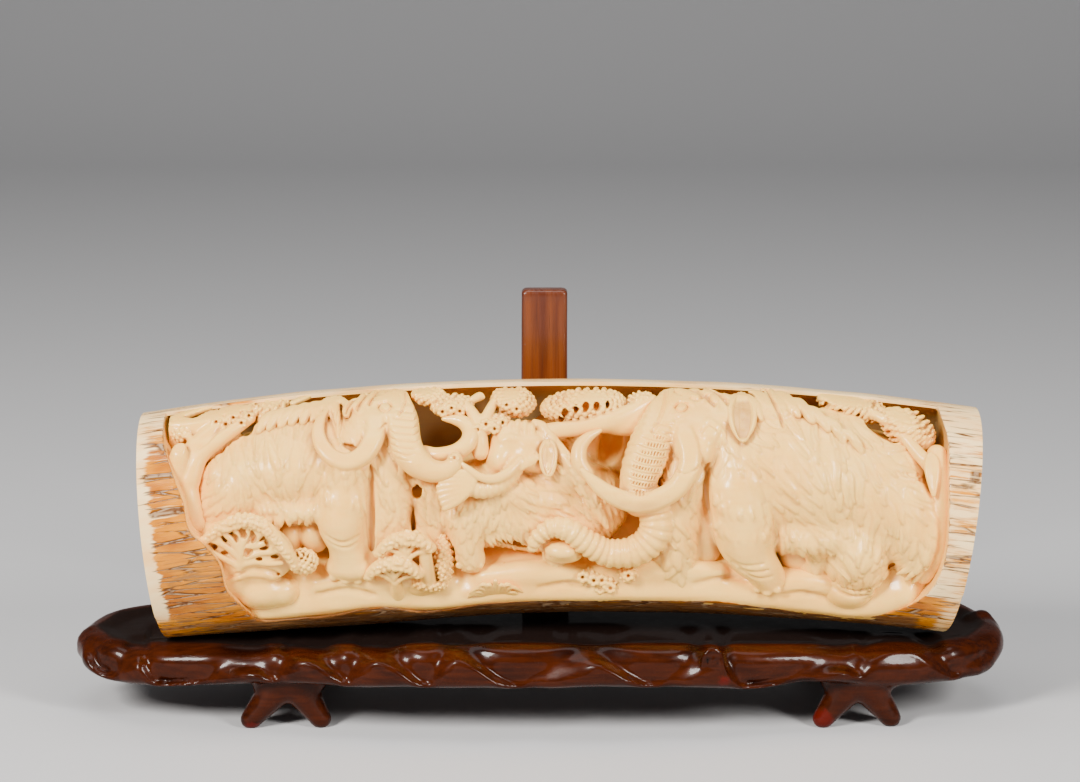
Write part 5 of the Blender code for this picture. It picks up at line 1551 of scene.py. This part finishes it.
# The line where the hollowed upper face of the rim meets the twisted roll below it: X, Z and
# how crisp the edge is there.
FOLD_LINE = (
    (-262, 36, 0), (-253.3, 39, 0.3), (-248.8, 36.3, 1), (-246.4, 29.1, 1), (-235, 25.3, 0.8),
    (-227.3, 30.5, 0), (-221.9, 38.2, 0), (-218.3, 43.1, 0.6), (-217.0, 34.1, 1),
    (-211.3, 24.6, 1), (-197.2, 22.6, 1), (-184.9, 24.9, 0.7), (-170.2, 33, 0.4),
    (-156.3, 36.4, 1), (-149.2, 35, 1), (-143.3, 27.3, 1), (-138.8, 33.1, 0), (-136.5, 41.1, 0),
    (-133.7, 44.6, 0.5), (-127.1, 44.8, 1), (-121.2, 43.4, 1), (-112.5, 37.5, 1),
    (-103.9, 30.4, 1), (-100.1, 34.5, 0), (-96.7, 42.4, 0), (-92.4, 45.9, 0.6),
    (-84.8, 46.1, 1), (-76.2, 41.8, 1), (-67.7, 34.7, 1), (-59.1, 28.7, 1), (-55.8, 35.5, 0),
    (-52.5, 44.5, 0), (-48.2, 47.9, 0.6), (-43.4, 48.5, 1), (-33.2, 42.9, 1), (-23.1, 35.1, 1),
    (-11.3, 30.6, 0.8), (0, 33.5, 0.2), (10.7, 39.1, 0), (21.4, 44.1, 0), (30.5, 46.3, 0.8),
    (39.1, 41.8, 1), (49.4, 35.5, 1), (57.4, 31, 1), (67.2, 29.7, 0.6), (75.2, 34, 0),
    (83.2, 40, 0), (88, 47.2, 0.3), (92.3, 51.1, 0.7), (96.6, 48.2, 1), (100.5, 39.1, 1),
    (107.7, 29.4, 1), (118.6, 25.1, 1), (132.3, 27.4, 0.7), (142.1, 30.9, 0.4),
    (155.7, 36, 0.6), (165.7, 36.7, 1), (172.4, 31.9, 1), (175.7, 34, 0), (177.7, 41.2, 0),
    (180.4, 45, 0.3), (190.9, 46.7, 0.8), (206.6, 44.9, 1), (217.3, 34.3, 1), (226.2, 26.1, 1),
    (234.9, 27.5, 0), (247.3, 29.6, 0), (262, 34.5, 0),
)
ROLL_OUT, FACE_IN = 2.2, 3.0
STAND_PITCH, STAND_TRIANGLES = 1.15, 110000
TABLE_EDGE = 0.3  # how sharply the feet are cut off at the table
# How much the front's lower edge stands above its even line, along X.
EDGE_SHIFT = (
    (-262, -2.5), (-225, -3), (-203, -3), (-182, 0), (-160, 3.4), (-118, 1.5), (-75, 2.4), (-53, 0.2),
    (-32, 3.4), (-10, 2.2), (10, 0.4), (32, 3.8), (53, 3.4), (75, 0.4), (118, 0.2), (139, 2.4),
    (160, 1.5), (203, -2), (225, -3.4), (262, -3),
)
FEET = (
    ((-137, -43), (-158, -46), (-120, -45)),
    ((174, -42), (155, -45), (192, -43)),
    ((-137, 43), (-156, 47), (-120, 47)),
    ((172, 43), (155, 47), (190, 46)),
)
# A prong from the base down: share of the way out to its toe, height and radius.
PRONG = ((0.0, 29.0, 11.0), (0.36, 21.0, 9.8), (0.6, 14.5, 8.0), (0.84, 8.6, 6.6), (0.98, 4.9, 5.8),
         (1.03, 4.2, 5.2))


def softened(values, reach):
    """The values averaged along their first axis with a bell of this reach, in steps."""
    steps = np.arange(-int(3 * reach), int(3 * reach) + 1)
    bell = np.exp(-0.5 * (steps / reach) ** 2)
    padded = np.concatenate([values[:1]] * len(steps[steps < 0]) + [values]
                            + [values[-1:]] * len(steps[steps > 0]))
    return sum(share * padded[n:n + len(values)] for n, share in enumerate(bell / bell.sum()))


def inside_rim(x, y):
    """How far a place lies within the line along the middle of the rim; negative inside."""
    front = np.array(sorted((p[0], p[1]) for p in BASE_RIM if p[1] < 3)).T
    rear = np.array(sorted((p[0], p[1]) for p in BASE_RIM if p[1] > -3)).T
    return np.maximum(np.maximum(np.interp(x, *front) - y, y - np.interp(x, *rear)), np.abs(x) - 249)


def stand_feet(clay):
    """Forked feet: two prongs from a short bar under the base."""
    for root, *toes in FEET:
        bar = np.array([(root[0] + side, root[1], 27.5, 8.5) for side in (-13, 0, 13)])
        clay.limb(bar, 5.0)
        for toe in toes:
            path = [(root[0] + (toe[0] - root[0]) * share, root[1] + (toe[1] - root[1]) * share,
                     height, radius) for share, height, radius in PRONG]
            clay.limb(smooth_path(path, 6), 3.5)


def stand_ornaments(clay):
    """The knot on the front and the knob at the right end."""
    clay.limb(smooth_path([(87.5, -71.0, 42.5, 1.3), (88.6, -71.5, 48, 1.7), (92.4, -70.5, 51.2, 1.9),
                           (96.4, -70.5, 48.4, 1.8), (97.6, -71.5, 42, 1.7), (100.8, -71, 35, 1.3)], 5), 1.2)
    clay.ball(np.array((92.6, -69.5, 45.6)), (3.0, 5.0, 3.4), -10, 0.8)
    clay.limb(np.array(((243, 14, 41, 6.0), (249, 16, 42, 6.5), (253, 12, 38, 6.0))), 2.0)
    clay.ball(np.array((251.5, 6.0, 41.5)), (4.0, 3.4, 3.4), 0, 1.2)
    clay.ball(np.array((254.0, 5.0, 35.0)), (3.4, 4.0, 3.4), 0, 1.2)


def cut_everywhere(clay, distance, blend):
    clay.cut(EVERYWHERE, np.broadcast_to(distance, clay.solid.shape).astype(np.float32), blend)


def stand_clay(pitch):
    """The base: a rolled rim, the tray inside it, and a front worked into a twisted roll."""
    xs = np.arange(-262, 263, pitch * 1.2)
    ys = np.concatenate((np.arange(-82, -30, pitch), np.arange(-30, 48, 2.6), np.arange(48, 82, 1.6)))
    zs = np.arange(-2, 56, pitch)
    clay = Clay(xs, ys, zs)
    clay.limb(smooth_path([*BASE_RIM, BASE_RIM[0]], 6), 1.0)
    lower = np.array([(x, y, z - RIM_DROP * max(0, 1 - (x / RIM_DROP_REACH) ** 2), radius)
                      for x, y, z, radius in BASE_RIM if y < 0])
    clay.limb(smooth_path(lower, 6), 1.0)
    # the tray fills the rim from side to side
    x, y, z = spread(xs, ys, zs)
    top = TRAY_TOP + 1.6 + TRAY_RISE * (1 - (x / TRAY_REACH) ** 2) + 0.5 * np.sin(x / 17) * np.cos(y / 23)
    tray = np.maximum(inside_rim(x, y), np.maximum(z - top, TRAY_BOTTOM - z))
    clay.add(EVERYWHERE, tray.astype(np.float32), 5.0, 0.0)
    # the front is worked into a twisted roll: full below the fold line, hollowed above it
    line_x, line_z, sharp = np.array(FOLD_LINE).T
    under = lower[np.argsort(lower[:, 0])]
    edge = np.interp(xs, under[:, 0], under[:, 2] - under[:, 3]) + 0.9 * np.sin(xs / 11.0 + 0.6) + 3.4
    edge = edge + softened(np.interp(xs, *np.array(EDGE_SHIFT).T), 6.0 / pitch)
    crisp = softened(np.interp(xs, line_x, sharp), 2.0 / pitch)[:, None, None]
    crisp = np.clip(1.5 * crisp - 0.5, 0, 1)
    fold = np.maximum(np.interp(xs, line_x, line_z), edge + 2.6)
    above = z - softened(fold, 1.7 / pitch)[:, None, None]
    roll = smooth_step(0.5 - above / (3.0 + 12.0 * (1 - crisp) ** 2))
    lip = 0.9 * crisp * np.exp(-((above + 2.4) / 2.2) ** 2)
    face = np.exp(-(np.maximum(above - 4.0, 0) / 8.0) ** 2) * (1 - roll)
    relief = softened(ROLL_OUT * roll + lip - FACE_IN * face, 1.6 / pitch)
    front_share = smooth_step((-14 - y) / 12) * smooth_step((55 - z) / 9)
    clay.solid -= (front_share * relief).astype(np.float32)
    # the underside is pared back to a gently waved edge
    cut_everywhere(clay, z - edge[:, None, None], 7.0)
    stand_feet(clay)
    stand_ornaments(clay)
    cut_everywhere(clay, z, TABLE_EDGE)
    return clay


def clear_of_tusk(points):
    """Presses the tray down where the log rests, so that the two stay apart."""
    x, y, z = points.T
    half = log_half_height(x)
    across = np.clip((y - CROWN_Y) / (LOG_HALF_DEPTH + 0.3), -1, 1)
    swell = LOG_SWELL * np.exp(-((x - LOG_SWELL_X) / LOG_SWELL_REACH) ** 2)
    underside = log_centre(x) - (half + swell + 0.45) * np.sqrt(1 - across * across)
    under = (np.abs(y - CROWN_Y) < LOG_HALF_DEPTH) & (np.abs(x - CROWN_X) < LOG_HALF_LENGTH + 6)
    pressed = points.copy()
    pressed[:, 2] = np.where(under, np.minimum(z, underside), z)
    return pressed


def stand_piece(material):
    clay = stand_clay(STAND_PITCH)
    points, faces = clay.skin()
    normals = point_normals(points, faces)
    hollow = hollowness(clay, points, normals)
    points = clear_of_tusk(points)
    low, high = (np.array(corner) / MM + side for corner, side in zip(CAD_BOX, (0.05, -0.05)))
    points = np.clip(points, low, high)
    # upward marks the tray's top under the log: the lacquer paints it nearly black as painted shade, and
    # makes it matte and dusty
    upward = smooth_step((normals[:, 2] - 0.3) / 0.3) * smooth_step((points[:, 2] - 34) / 6)
    upward *= smooth_step((3.0 - inside_rim(points[:, 0], points[:, 1])) / 6.0)
    piece = mesh_object("carved_stand", points, faces, material, hollow=hollow, upward=upward)
    thin_out(piece, STAND_TRIANGLES)
    return piece


# ================================================================ the post
POST_X, POST_WIDTH, POST_THICKNESS = 2.5, 27.5, 12.0
POST_FRONT_Y, POST_TOP, POST_FOOT = 45.8, 226.0, 30.0
POST_TAPER, POST_EDGE, POST_SHRINK = 0.94, 2.6, 0.18


def post_piece(material):
    """A slightly tapering post with rounded edges and a softly worn face."""
    corners = []
    for sx, sy in ((1, 1), (-1, 1), (-1, -1), (1, -1)):
        for step in range(7):
            angle = math.atan2(sy, sx) + (step / 6 - 0.5) * math.pi / 2
            corners.append((sx * (POST_WIDTH / 2 - POST_EDGE) + POST_EDGE * math.cos(angle),
                            sy * (POST_THICKNESS / 2 - POST_EDGE) + POST_EDGE * math.sin(angle)))
    outline = []
    for start, end in zip(corners, corners[1:] + corners[:1]):
        pieces = max(1, round(math.dist(start, end) / 1.6))
        outline += [(start[0] + (end[0] - start[0]) * n / pieces,
                     start[1] + (end[1] - start[1]) * n / pieces) for n in range(pieces)]
    outline = np.array(outline)
    heights = [(POST_FOOT, 1.0)] + [(z, 1.0) for z in np.arange(POST_FOOT + 2, POST_TOP - POST_EDGE, 2.4)]
    heights += [(POST_TOP - POST_EDGE + POST_EDGE * math.sin(a), 1 - POST_SHRINK * (1 - math.cos(a)))
                for a in np.linspace(0.0, math.pi / 2, 7)]
    heights += [(POST_TOP, 0.5), (POST_TOP, 0.1)]
    rows = []
    for z, shrink in [(POST_FOOT, 0.1), (POST_FOOT, 0.5)] + heights:
        taper = 1 - (1 - POST_TAPER) * (z - POST_FOOT) / (POST_TOP - POST_FOOT)
        inset = POST_EDGE * (1 - shrink) / POST_SHRINK if shrink > 0.8 else 0
        size = np.array((taper - 2 * inset / POST_WIDTH, 1 - 2 * inset / POST_THICKNESS))
        if shrink < 0.8:
            size = np.array((taper - 2 * POST_EDGE / POST_WIDTH, 1 - 2 * POST_EDGE / POST_THICKNESS))
            size = size * shrink
        ring = outline * size
        rows.append(np.column_stack((ring[:, 0] + POST_X,
                                     ring[:, 1] + POST_FRONT_Y + POST_THICKNESS / 2,
                                     np.full(len(ring), z))))
    points = np.array(rows).reshape(-1, 3)
    worn = 0.18 * (0.5 + 0.5 * noise(points * np.array((1, 1, 0.35)), 7.0, 21))
    centre = np.array((POST_X, POST_FRONT_Y + POST_THICKNESS / 2, 0))
    away = (points - centre) * np.array((1 / POST_WIDTH, 1 / POST_THICKNESS, 0))
    points = points - np.sign(away) * (np.abs(away) > 0.35) * worn[:, None]
    piece = mesh_object("rear_post", points, tube_faces(len(rows), len(outline)), material)
    close_holes(piece)
    return piece


# ================================================================ materials
class Paint:
    """A Principled material, built up from short node calls."""

    def __init__(self, name, **shader):
        self.material = bpy.data.materials.new(name)
        self.material.use_nodes = True
        self.tree = self.material.node_tree
        self.shader = self.tree.nodes["Principled BSDF"]
        for label, value in shader.items():
            self.shader.inputs[label.replace("_", " ")].default_value = value

    def node(self, kind, *inputs, output=0, **settings):
        made = self.tree.nodes.new("ShaderNode" + kind)
        for key, value in settings.items():
            setattr(made, key, value)
        for slot, value in inputs:
            if isinstance(value, bpy.types.NodeSocket):
                self.tree.links.new(value, made.inputs[slot])
            elif value is not None:
                made.inputs[slot].default_value = value
        return made.outputs[output]

    def value(self, attribute):
        return self.node("Attribute", output="Fac", attribute_name=attribute)

    def vector(self, attribute):
        return self.node("Attribute", output="Vector", attribute_name=attribute)

    def place(self):
        """Position in millimetres."""
        coordinates = self.node("TexCoord", output="Object")
        return self.scaled(coordinates, (1000, 1000, 1000))

    def scaled(self, vector, by):
        return self.node("VectorMath", (0, vector), (1, by), operation="MULTIPLY")

    def noise(self, vector, size, detail=3.0, rough=0.55):
        return self.node("TexNoise", ("Vector", vector), ("Scale", 1 / size), ("Detail", detail),
                         ("Roughness", rough), output="Fac")

    def calc(self, operation, a, b):
        return self.node("Math", (0, a), (1, b), operation=operation)

    def times(self, a, b):
        return self.calc("MULTIPLY", a, b)

    def ease(self, value, low, high, to_low=0.0, to_high=1.0):
        return self.node("MapRange", ("Value", value), ("From Min", low), ("From Max", high),
                         ("To Min", to_low), ("To Max", to_high), interpolation_type="SMOOTHSTEP")

    def mix(self, factor, a, b):
        colours = [(*c, 1.0) if isinstance(c, tuple) and len(c) == 3 else c for c in (a, b)]
        return self.node("Mix", (0, factor), (6, colours[0]), (7, colours[1]), output=2,
                         data_type="RGBA")

    def bump(self, height, strength, distance):
        return self.node("Bump", ("Strength", strength), ("Distance", distance), ("Height", height))

    def finish(self, colour, roughness, normal):
        for label, socket in (("Base Color", colour), ("Roughness", roughness), ("Normal", normal)):
            if socket is not None:
                self.tree.links.new(socket, self.shader.inputs[label])
        return self.material


IVORY_PALE = (0.98, 0.58, 0.13)
IVORY_WARM = (0.94, 0.45, 0.07)
# the next colour is painted shade, laid into crevices and engraved grooves
IVORY_PAINTED_SHADE = (0.52, 0.245, 0.06)


def ivory_colour(paint, place):
    """Cream ivory with faint streaks along the tusk, warmer in patches."""
    patches = paint.ease(paint.noise(place, 38.0, 2.0), 0.35, 0.68)
    streaks = paint.noise(paint.scaled(place, (0.05, 1.0, 1.0)), 2.4, 4.0)
    tone = paint.calc("ADD", paint.times(patches, 0.5),
                      paint.times(paint.ease(streaks, 0.4, 0.75), 0.28))
    return paint.mix(tone, IVORY_PALE, IVORY_WARM)


def carved_ivory():
    paint = Paint("carved_ivory", Roughness=0.3, IOR=1.54, Specular_IOR_Level=0.24,
                  Subsurface_Weight=0.22, Subsurface_Scale=0.003,
                  Subsurface_Radius=(1.0, 0.55, 0.3), Coat_Weight=0.22, Coat_Roughness=0.1)
    place = paint.place()
    hollow = paint.value("hollow")
    fur = paint.value("fur")
    colour = ivory_colour(paint, place)
    # painted shade: the ivory turns a darker brown where the hollow attribute finds a crevice, mottled by
    # noise
    painted_shade = paint.ease(hollow, 0.3, 0.95)
    mottled_shade = paint.times(painted_shade, paint.ease(paint.noise(place, 7.0), 0.2, 0.7, 0.55, 1.0))
    colour = paint.mix(paint.times(mottled_shade, 0.9), colour, IVORY_PAINTED_SHADE)
    # fine strands along each lock
    strand = paint.scaled(paint.vector("strand"), (2.4, 0.16, 1.0))
    hairs = paint.noise(strand, 1.0, 2.0)
    height = paint.times(paint.calc("SUBTRACT", hairs, 0.5), fur)
    tooling = paint.noise(paint.scaled(place, (1.0, 1.0, 0.6)), 1.6, 2.0)
    height = paint.calc("ADD", height, paint.times(tooling, 0.12))
    normal = paint.bump(height, 0.75, 0.0009)
    roughness = paint.ease(paint.noise(place, 11.0), 0.3, 0.7, 0.24, 0.4)
    return paint.finish(colour, roughness, normal)


def bark_cracks(paint, grain, level):
    """Thin dark cracks along the tusk, broader where the bark is old: their share and colour."""
    wander = paint.noise(paint.scaled(grain, (0.09, 1.0, 1.0)), 9.0, 2.0)
    warped = paint.node("VectorMath", (0, paint.scaled(grain, (0.10, 1.0, 1.0))),
                        (1, paint.scaled(paint.node("CombineXYZ", (1, wander), (2, wander)),
                                         (0, 3.0, 3.0))), operation="ADD")
    lines = paint.node("TexVoronoi", ("Vector", warped), ("Scale", 0.22), ("Randomness", 1.0),
                       output="Distance", feature="DISTANCE_TO_EDGE")
    broken = paint.ease(paint.noise(paint.scaled(grain, (0.11, 1, 1)), 4.2, 3.0), 0.40, 0.50)
    where = paint.times(broken, paint.ease(level, 0.12, 0.42))
    crack = paint.times(paint.ease(lines, 0.03, 0.085, 1.0, 0.0), where)
    core = paint.times(paint.ease(lines, 0.012, 0.04, 1.0, 0.0),
                       paint.ease(paint.noise(grain, 5.0), 0.36, 0.55))
    mineral = paint.mix(core, (0.085, 0.026, 0.006), (0.34, 0.22, 0.12))
    return crack, mineral


def shell_ivory():
    """Bark outside, with its cracks and stains, and ivory where the tusk is cut."""
    paint = Paint("tusk_bark", Roughness=0.3, IOR=1.54, Specular_IOR_Level=0.12, Subsurface_Weight=0.06,
                  Subsurface_Scale=0.003, Subsurface_Radius=(1.0, 0.55, 0.3), Coat_Weight=0.16,
                  Coat_Roughness=0.05)
    place = paint.place()
    grain = paint.vector("grain")
    age = paint.value("age")
    bark = paint.value("bark")
    hollow = paint.value("hollow")
    # stains run along the tusk in ragged streaks
    streak = paint.noise(paint.scaled(grain, (0.075, 1.0, 1.0)), 2.6, 6.0, 0.68)
    blotch = paint.noise(paint.scaled(grain, (0.4, 1.0, 1.0)), 14.0, 3.0)
    level = paint.calc("ADD", paint.times(age, 1.25),
                       paint.calc("SUBTRACT", paint.calc("ADD", paint.times(streak, 1.5),
                                                         paint.times(blotch, 0.7)), 1.2))
    cream = paint.mix(paint.ease(blotch, 0.3, 0.7), (0.92, 0.66, 0.32), (0.88, 0.50, 0.17))
    amber = paint.mix(paint.ease(blotch, 0.35, 0.65), (0.38, 0.10, 0.0006), (0.64, 0.225, 0.0015))
    brown = paint.mix(paint.ease(streak, 0.4, 0.7), (0.11, 0.036, 0.009), (0.33, 0.15, 0.045))
    colour = paint.mix(paint.ease(level, 0.30, 0.58), cream, amber)
    colour = paint.mix(paint.ease(level, 0.95, 1.3), colour, brown)
    crack, mineral = bark_cracks(paint, grain, level)
    colour = paint.mix(paint.times(crack, 0.95), colour, mineral)
    # the cut ivory: growth rings on the ends, and painted shade darkening it deep in the trough
    ring_place = paint.scaled(grain, (0.0, 1.1, 1.0))
    radius = paint.node("VectorMath", (0, ring_place), output="Value", operation="LENGTH")
    rings = paint.noise(paint.node("CombineXYZ", (0, radius)), 1.7, 4.0)
    cut = paint.mix(paint.times(paint.ease(rings, 0.4, 0.7), 0.35),
                    ivory_colour(paint, place), (0.62, 0.38, 0.18))
    cut = paint.mix(paint.ease(hollow, 0.3, 0.95, 0.0, 0.85), cut, (0.20, 0.13, 0.062))
    colour = paint.mix(bark, cut, colour)
    groove = paint.times(crack, bark)
    fibre = paint.noise(paint.scaled(grain, (0.06, 1.0, 1.0)), 0.9, 3.0)
    rough = paint.times(paint.times(fibre, paint.ease(level, 0.7, 1.2)), bark)
    height = paint.calc("SUBTRACT", paint.times(rough, 0.5), groove)
    normal = paint.bump(height, 0.8, 0.0008)
    roughness = paint.ease(level, 0.5, 1.25, 0.17, 0.36)
    return paint.finish(colour, roughness, normal)


def lacquer():
    """Dark red-brown lacquer, thinner where it is rubbed, with painted shade in the hollows; the flat top
    under the log is painted nearly black as shade, and is dusty.
    """
    paint = Paint("lacquered_wood", Roughness=0.3, IOR=1.5, Specular_IOR_Level=0.08,
                  Coat_Weight=0.12, Coat_Roughness=0.05)
    place = paint.place()
    hollow = paint.value("hollow")
    upward = paint.value("upward")
    flow = paint.noise(paint.scaled(place, (0.35, 1.0, 0.8)), 15.0, 4.0)
    grain = paint.noise(paint.scaled(place, (0.10, 1.0, 1.0)), 2.4, 4.0)
    colour = paint.mix(paint.ease(flow, 0.36, 0.64), (0.007, 0.0011, 0.0003), (0.021, 0.0033, 0.0005))
    thin = paint.times(paint.ease(hollow, 0.42, 0.12), paint.ease(grain, 0.3, 0.7, 0.3, 1.0))
    colour = paint.mix(paint.times(thin, 0.5), colour, (0.06, 0.0105, 0.0014))
    # painted shade: the lacquer is painted nearly black in the hollows
    colour = paint.mix(paint.ease(hollow, 0.42, 0.8), colour, (0.006, 0.0015, 0.001))
    dust = paint.times(upward, paint.ease(paint.noise(place, 1.1, 2.0), 0.68, 0.8))
    # painted shade: the flat top under the log is painted nearly black
    colour = paint.mix(upward, colour, (0.006, 0.0020, 0.0011))
    colour = paint.mix(paint.times(dust, 0.3), colour, (0.16, 0.14, 0.12))
    # the under-coat of cinnabar red shows where a foot has rubbed
    for spot, reach in (((153.0, -50.0, 3.0), 8.0), ((-157.0, -50.0, 0.0), 4.0), ((99.0, -72.0, 34.0), 3.0)):
        gap = paint.node("VectorMath", (0, place), (1, spot), output="Value", operation="DISTANCE")
        ragged = paint.calc("ADD", gap, paint.times(paint.noise(place, 4.0), 7.0))
        worn = paint.ease(ragged, reach + 2.0, reach + 5.0, 1.0, 0.0)
        colour = paint.mix(paint.times(worn, 0.7), colour, (0.085, 0.004, 0.0018))
    roughness = paint.calc("ADD", paint.ease(paint.noise(place, 9.0), 0.3, 0.7, 0.2, 0.3),
                           paint.times(upward, 0.6))
    normal = paint.bump(paint.calc("ADD", grain, paint.times(flow, 1.5)), 0.1, 0.0007)
    return paint.finish(colour, roughness, normal)


def post_wood():
    paint = Paint("post_wood", Roughness=0.3, IOR=1.5, Specular_IOR_Level=0.34, Coat_Weight=0.15,
                  Coat_Roughness=0.14)
    place = paint.place()
    fibres = paint.noise(paint.scaled(place, (1.0, 1.0, 0.03)), 1.3, 5.0)
    bands = paint.noise(paint.scaled(place, (1.0, 1.0, 0.045)), 5.5, 3.0)
    colour = paint.mix(paint.ease(bands, 0.35, 0.68), (0.068, 0.012, 0.0022), (0.135, 0.030, 0.004))
    colour = paint.mix(paint.times(paint.ease(fibres, 0.55, 0.72), 0.7), colour,
                       (0.03, 0.006, 0.002))
    ends = paint.node("SeparateXYZ", (0, place), output=2)
    top = paint.ease(ends, POST_TOP - 9, POST_TOP - 1)
    colour = paint.mix(paint.times(top, 0.6), colour, (0.07, 0.017, 0.008))
    roughness = paint.ease(fibres, 0.3, 0.7, 0.2, 0.36)
    normal = paint.bump(fibres, 0.25, 0.0006)
    return paint.finish(colour, roughness, normal)


# ================================================================ the studio
def plain_material(name, colour, roughness):
    paint = Paint(name, Roughness=roughness)
    paint.shader.inputs["Base Color"].default_value = (*colour, 1)
    return paint.material


def studio_floor():
    """A pale floor that sweeps up into a backdrop a long way behind."""
    run = [(-4.0, 0.0)] + [(2.2 + 1.4 * math.sin(a), 1.4 - 1.4 * math.cos(a))
                           for a in np.linspace(0, math.pi / 2, 14)] + [(3.6, 5.0)]
    mesh = bpy.data.meshes.new("studio_floor")
    with edited(mesh) as work:
        rows = [[work.verts.new((x, y, z)) for x in (-6.0, 6.0)] for y, z in run]
        for low, high in zip(rows, rows[1:]):
            work.faces.new((low[0], low[1], high[1], high[0]))
    mesh.shade_smooth()
    mesh.materials.append(plain_material("floor_paper", (0.46, 0.46, 0.47), 0.7))
    floor = linked("studio_floor", mesh)


def area_light(name, place, target, size, watts, colour=(1, 1, 1)):
    light = bpy.data.lights.new(name, "AREA")
    light.shape = "RECTANGLE"
    light.size, light.size_y = size
    light.energy = watts
    light.color = colour
    lamp = linked(name, light)
    lamp.location = place
    lamp.rotation_euler = (Vector(target) - Vector(place)).to_track_quat("-Z", "Y").to_euler()


def studio_lights():
    middle = (0, 0, 0.11)
    area_light("key_left", (-1.05, -1.25, 1.15), middle, (0.42, 0.6), 76, (1, 0.965, 0.92))
    area_light("key_right", (1.15, -1.15, 0.95), middle, (0.36, 0.6), 45, (1, 0.975, 0.94))
    area_light("top", (0, -0.15, 1.7), middle, (1.5, 0.7), 15)
    world = bpy.data.worlds.new("studio")
    world.use_nodes = True
    world.node_tree.nodes["Background"].inputs["Color"].default_value = (0.75, 0.77, 0.8, 1)
    world.node_tree.nodes["Background"].inputs["Strength"].default_value = 0.26
    bpy.context.scene.world = world


def photograph_view():
    """The camera where the photograph was taken from."""
    camera = bpy.data.cameras.new("photograph_view")
    camera.sensor_width = SENSOR_WIDTH
    camera.lens = VIEW_DISTANCE / MM_PER_PIXEL * SENSOR_WIDTH / IMAGE_WIDTH
    camera.clip_end = 50
    eye_point = linked("photograph_view", camera)
    away = Vector((0, -math.cos(VIEW_ELEVATION), math.sin(VIEW_ELEVATION))) * VIEW_DISTANCE * MM
    eye_point.location = Vector((0, 0, VIEW_TARGET_HEIGHT * MM)) + away
    eye_point.rotation_euler = (math.pi / 2 - VIEW_ELEVATION, 0, 0)
    bpy.context.scene.camera = eye_point


# ================================================================ everything together
def dress(piece, node):
    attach(piece, "root")
    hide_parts(node)


ANIMAL_PITCH = 0.72  # how finely each block of clay is divided
GROWTH_PITCH, SMALL_PITCH, GROUND_PITCH = 0.62, 0.66, 1.3

photograph_view()
studio_floor()
studio_lights()

ivory = carved_ivory()
dress(tusk_shell(shell_ivory()), "carved_tusk")
for name, block, triangles, *finish in (
    ("mammoth_left", left_mammoth(ANIMAL_PITCH), 146000, LEFT_FLOW, LEFT_MARKS),
    ("mammoth_calf", calf(ANIMAL_PITCH), 92000, CALF_FLOW, CALF_MARKS),
    ("mammoth_right", right_mammoth(ANIMAL_PITCH), 186000, RIGHT_FLOW, RIGHT_MARKS),
    ("tree_left", left_grove(GROWTH_PITCH), 34000),
    ("trees_centre", centre_grove(GROWTH_PITCH), 72000),
    ("trees_right", right_grove(SMALL_PITCH), 36000),
    ("coral_fan", fan_coral(GROWTH_PITCH), 68000),
    ("coral_twin", twin_coral(GROWTH_PITCH), 50000),
    ("small_growths", small_growths(SMALL_PITCH), 24000),
    ("ground", ground(GROUND_PITCH), 26000),
):
    dress(carve(name, block, ivory, triangles, *finish), "carved_tusk")
dress(stand_piece(lacquer()), "stand_base")
dress(post_piece(post_wood()), "stand_post")
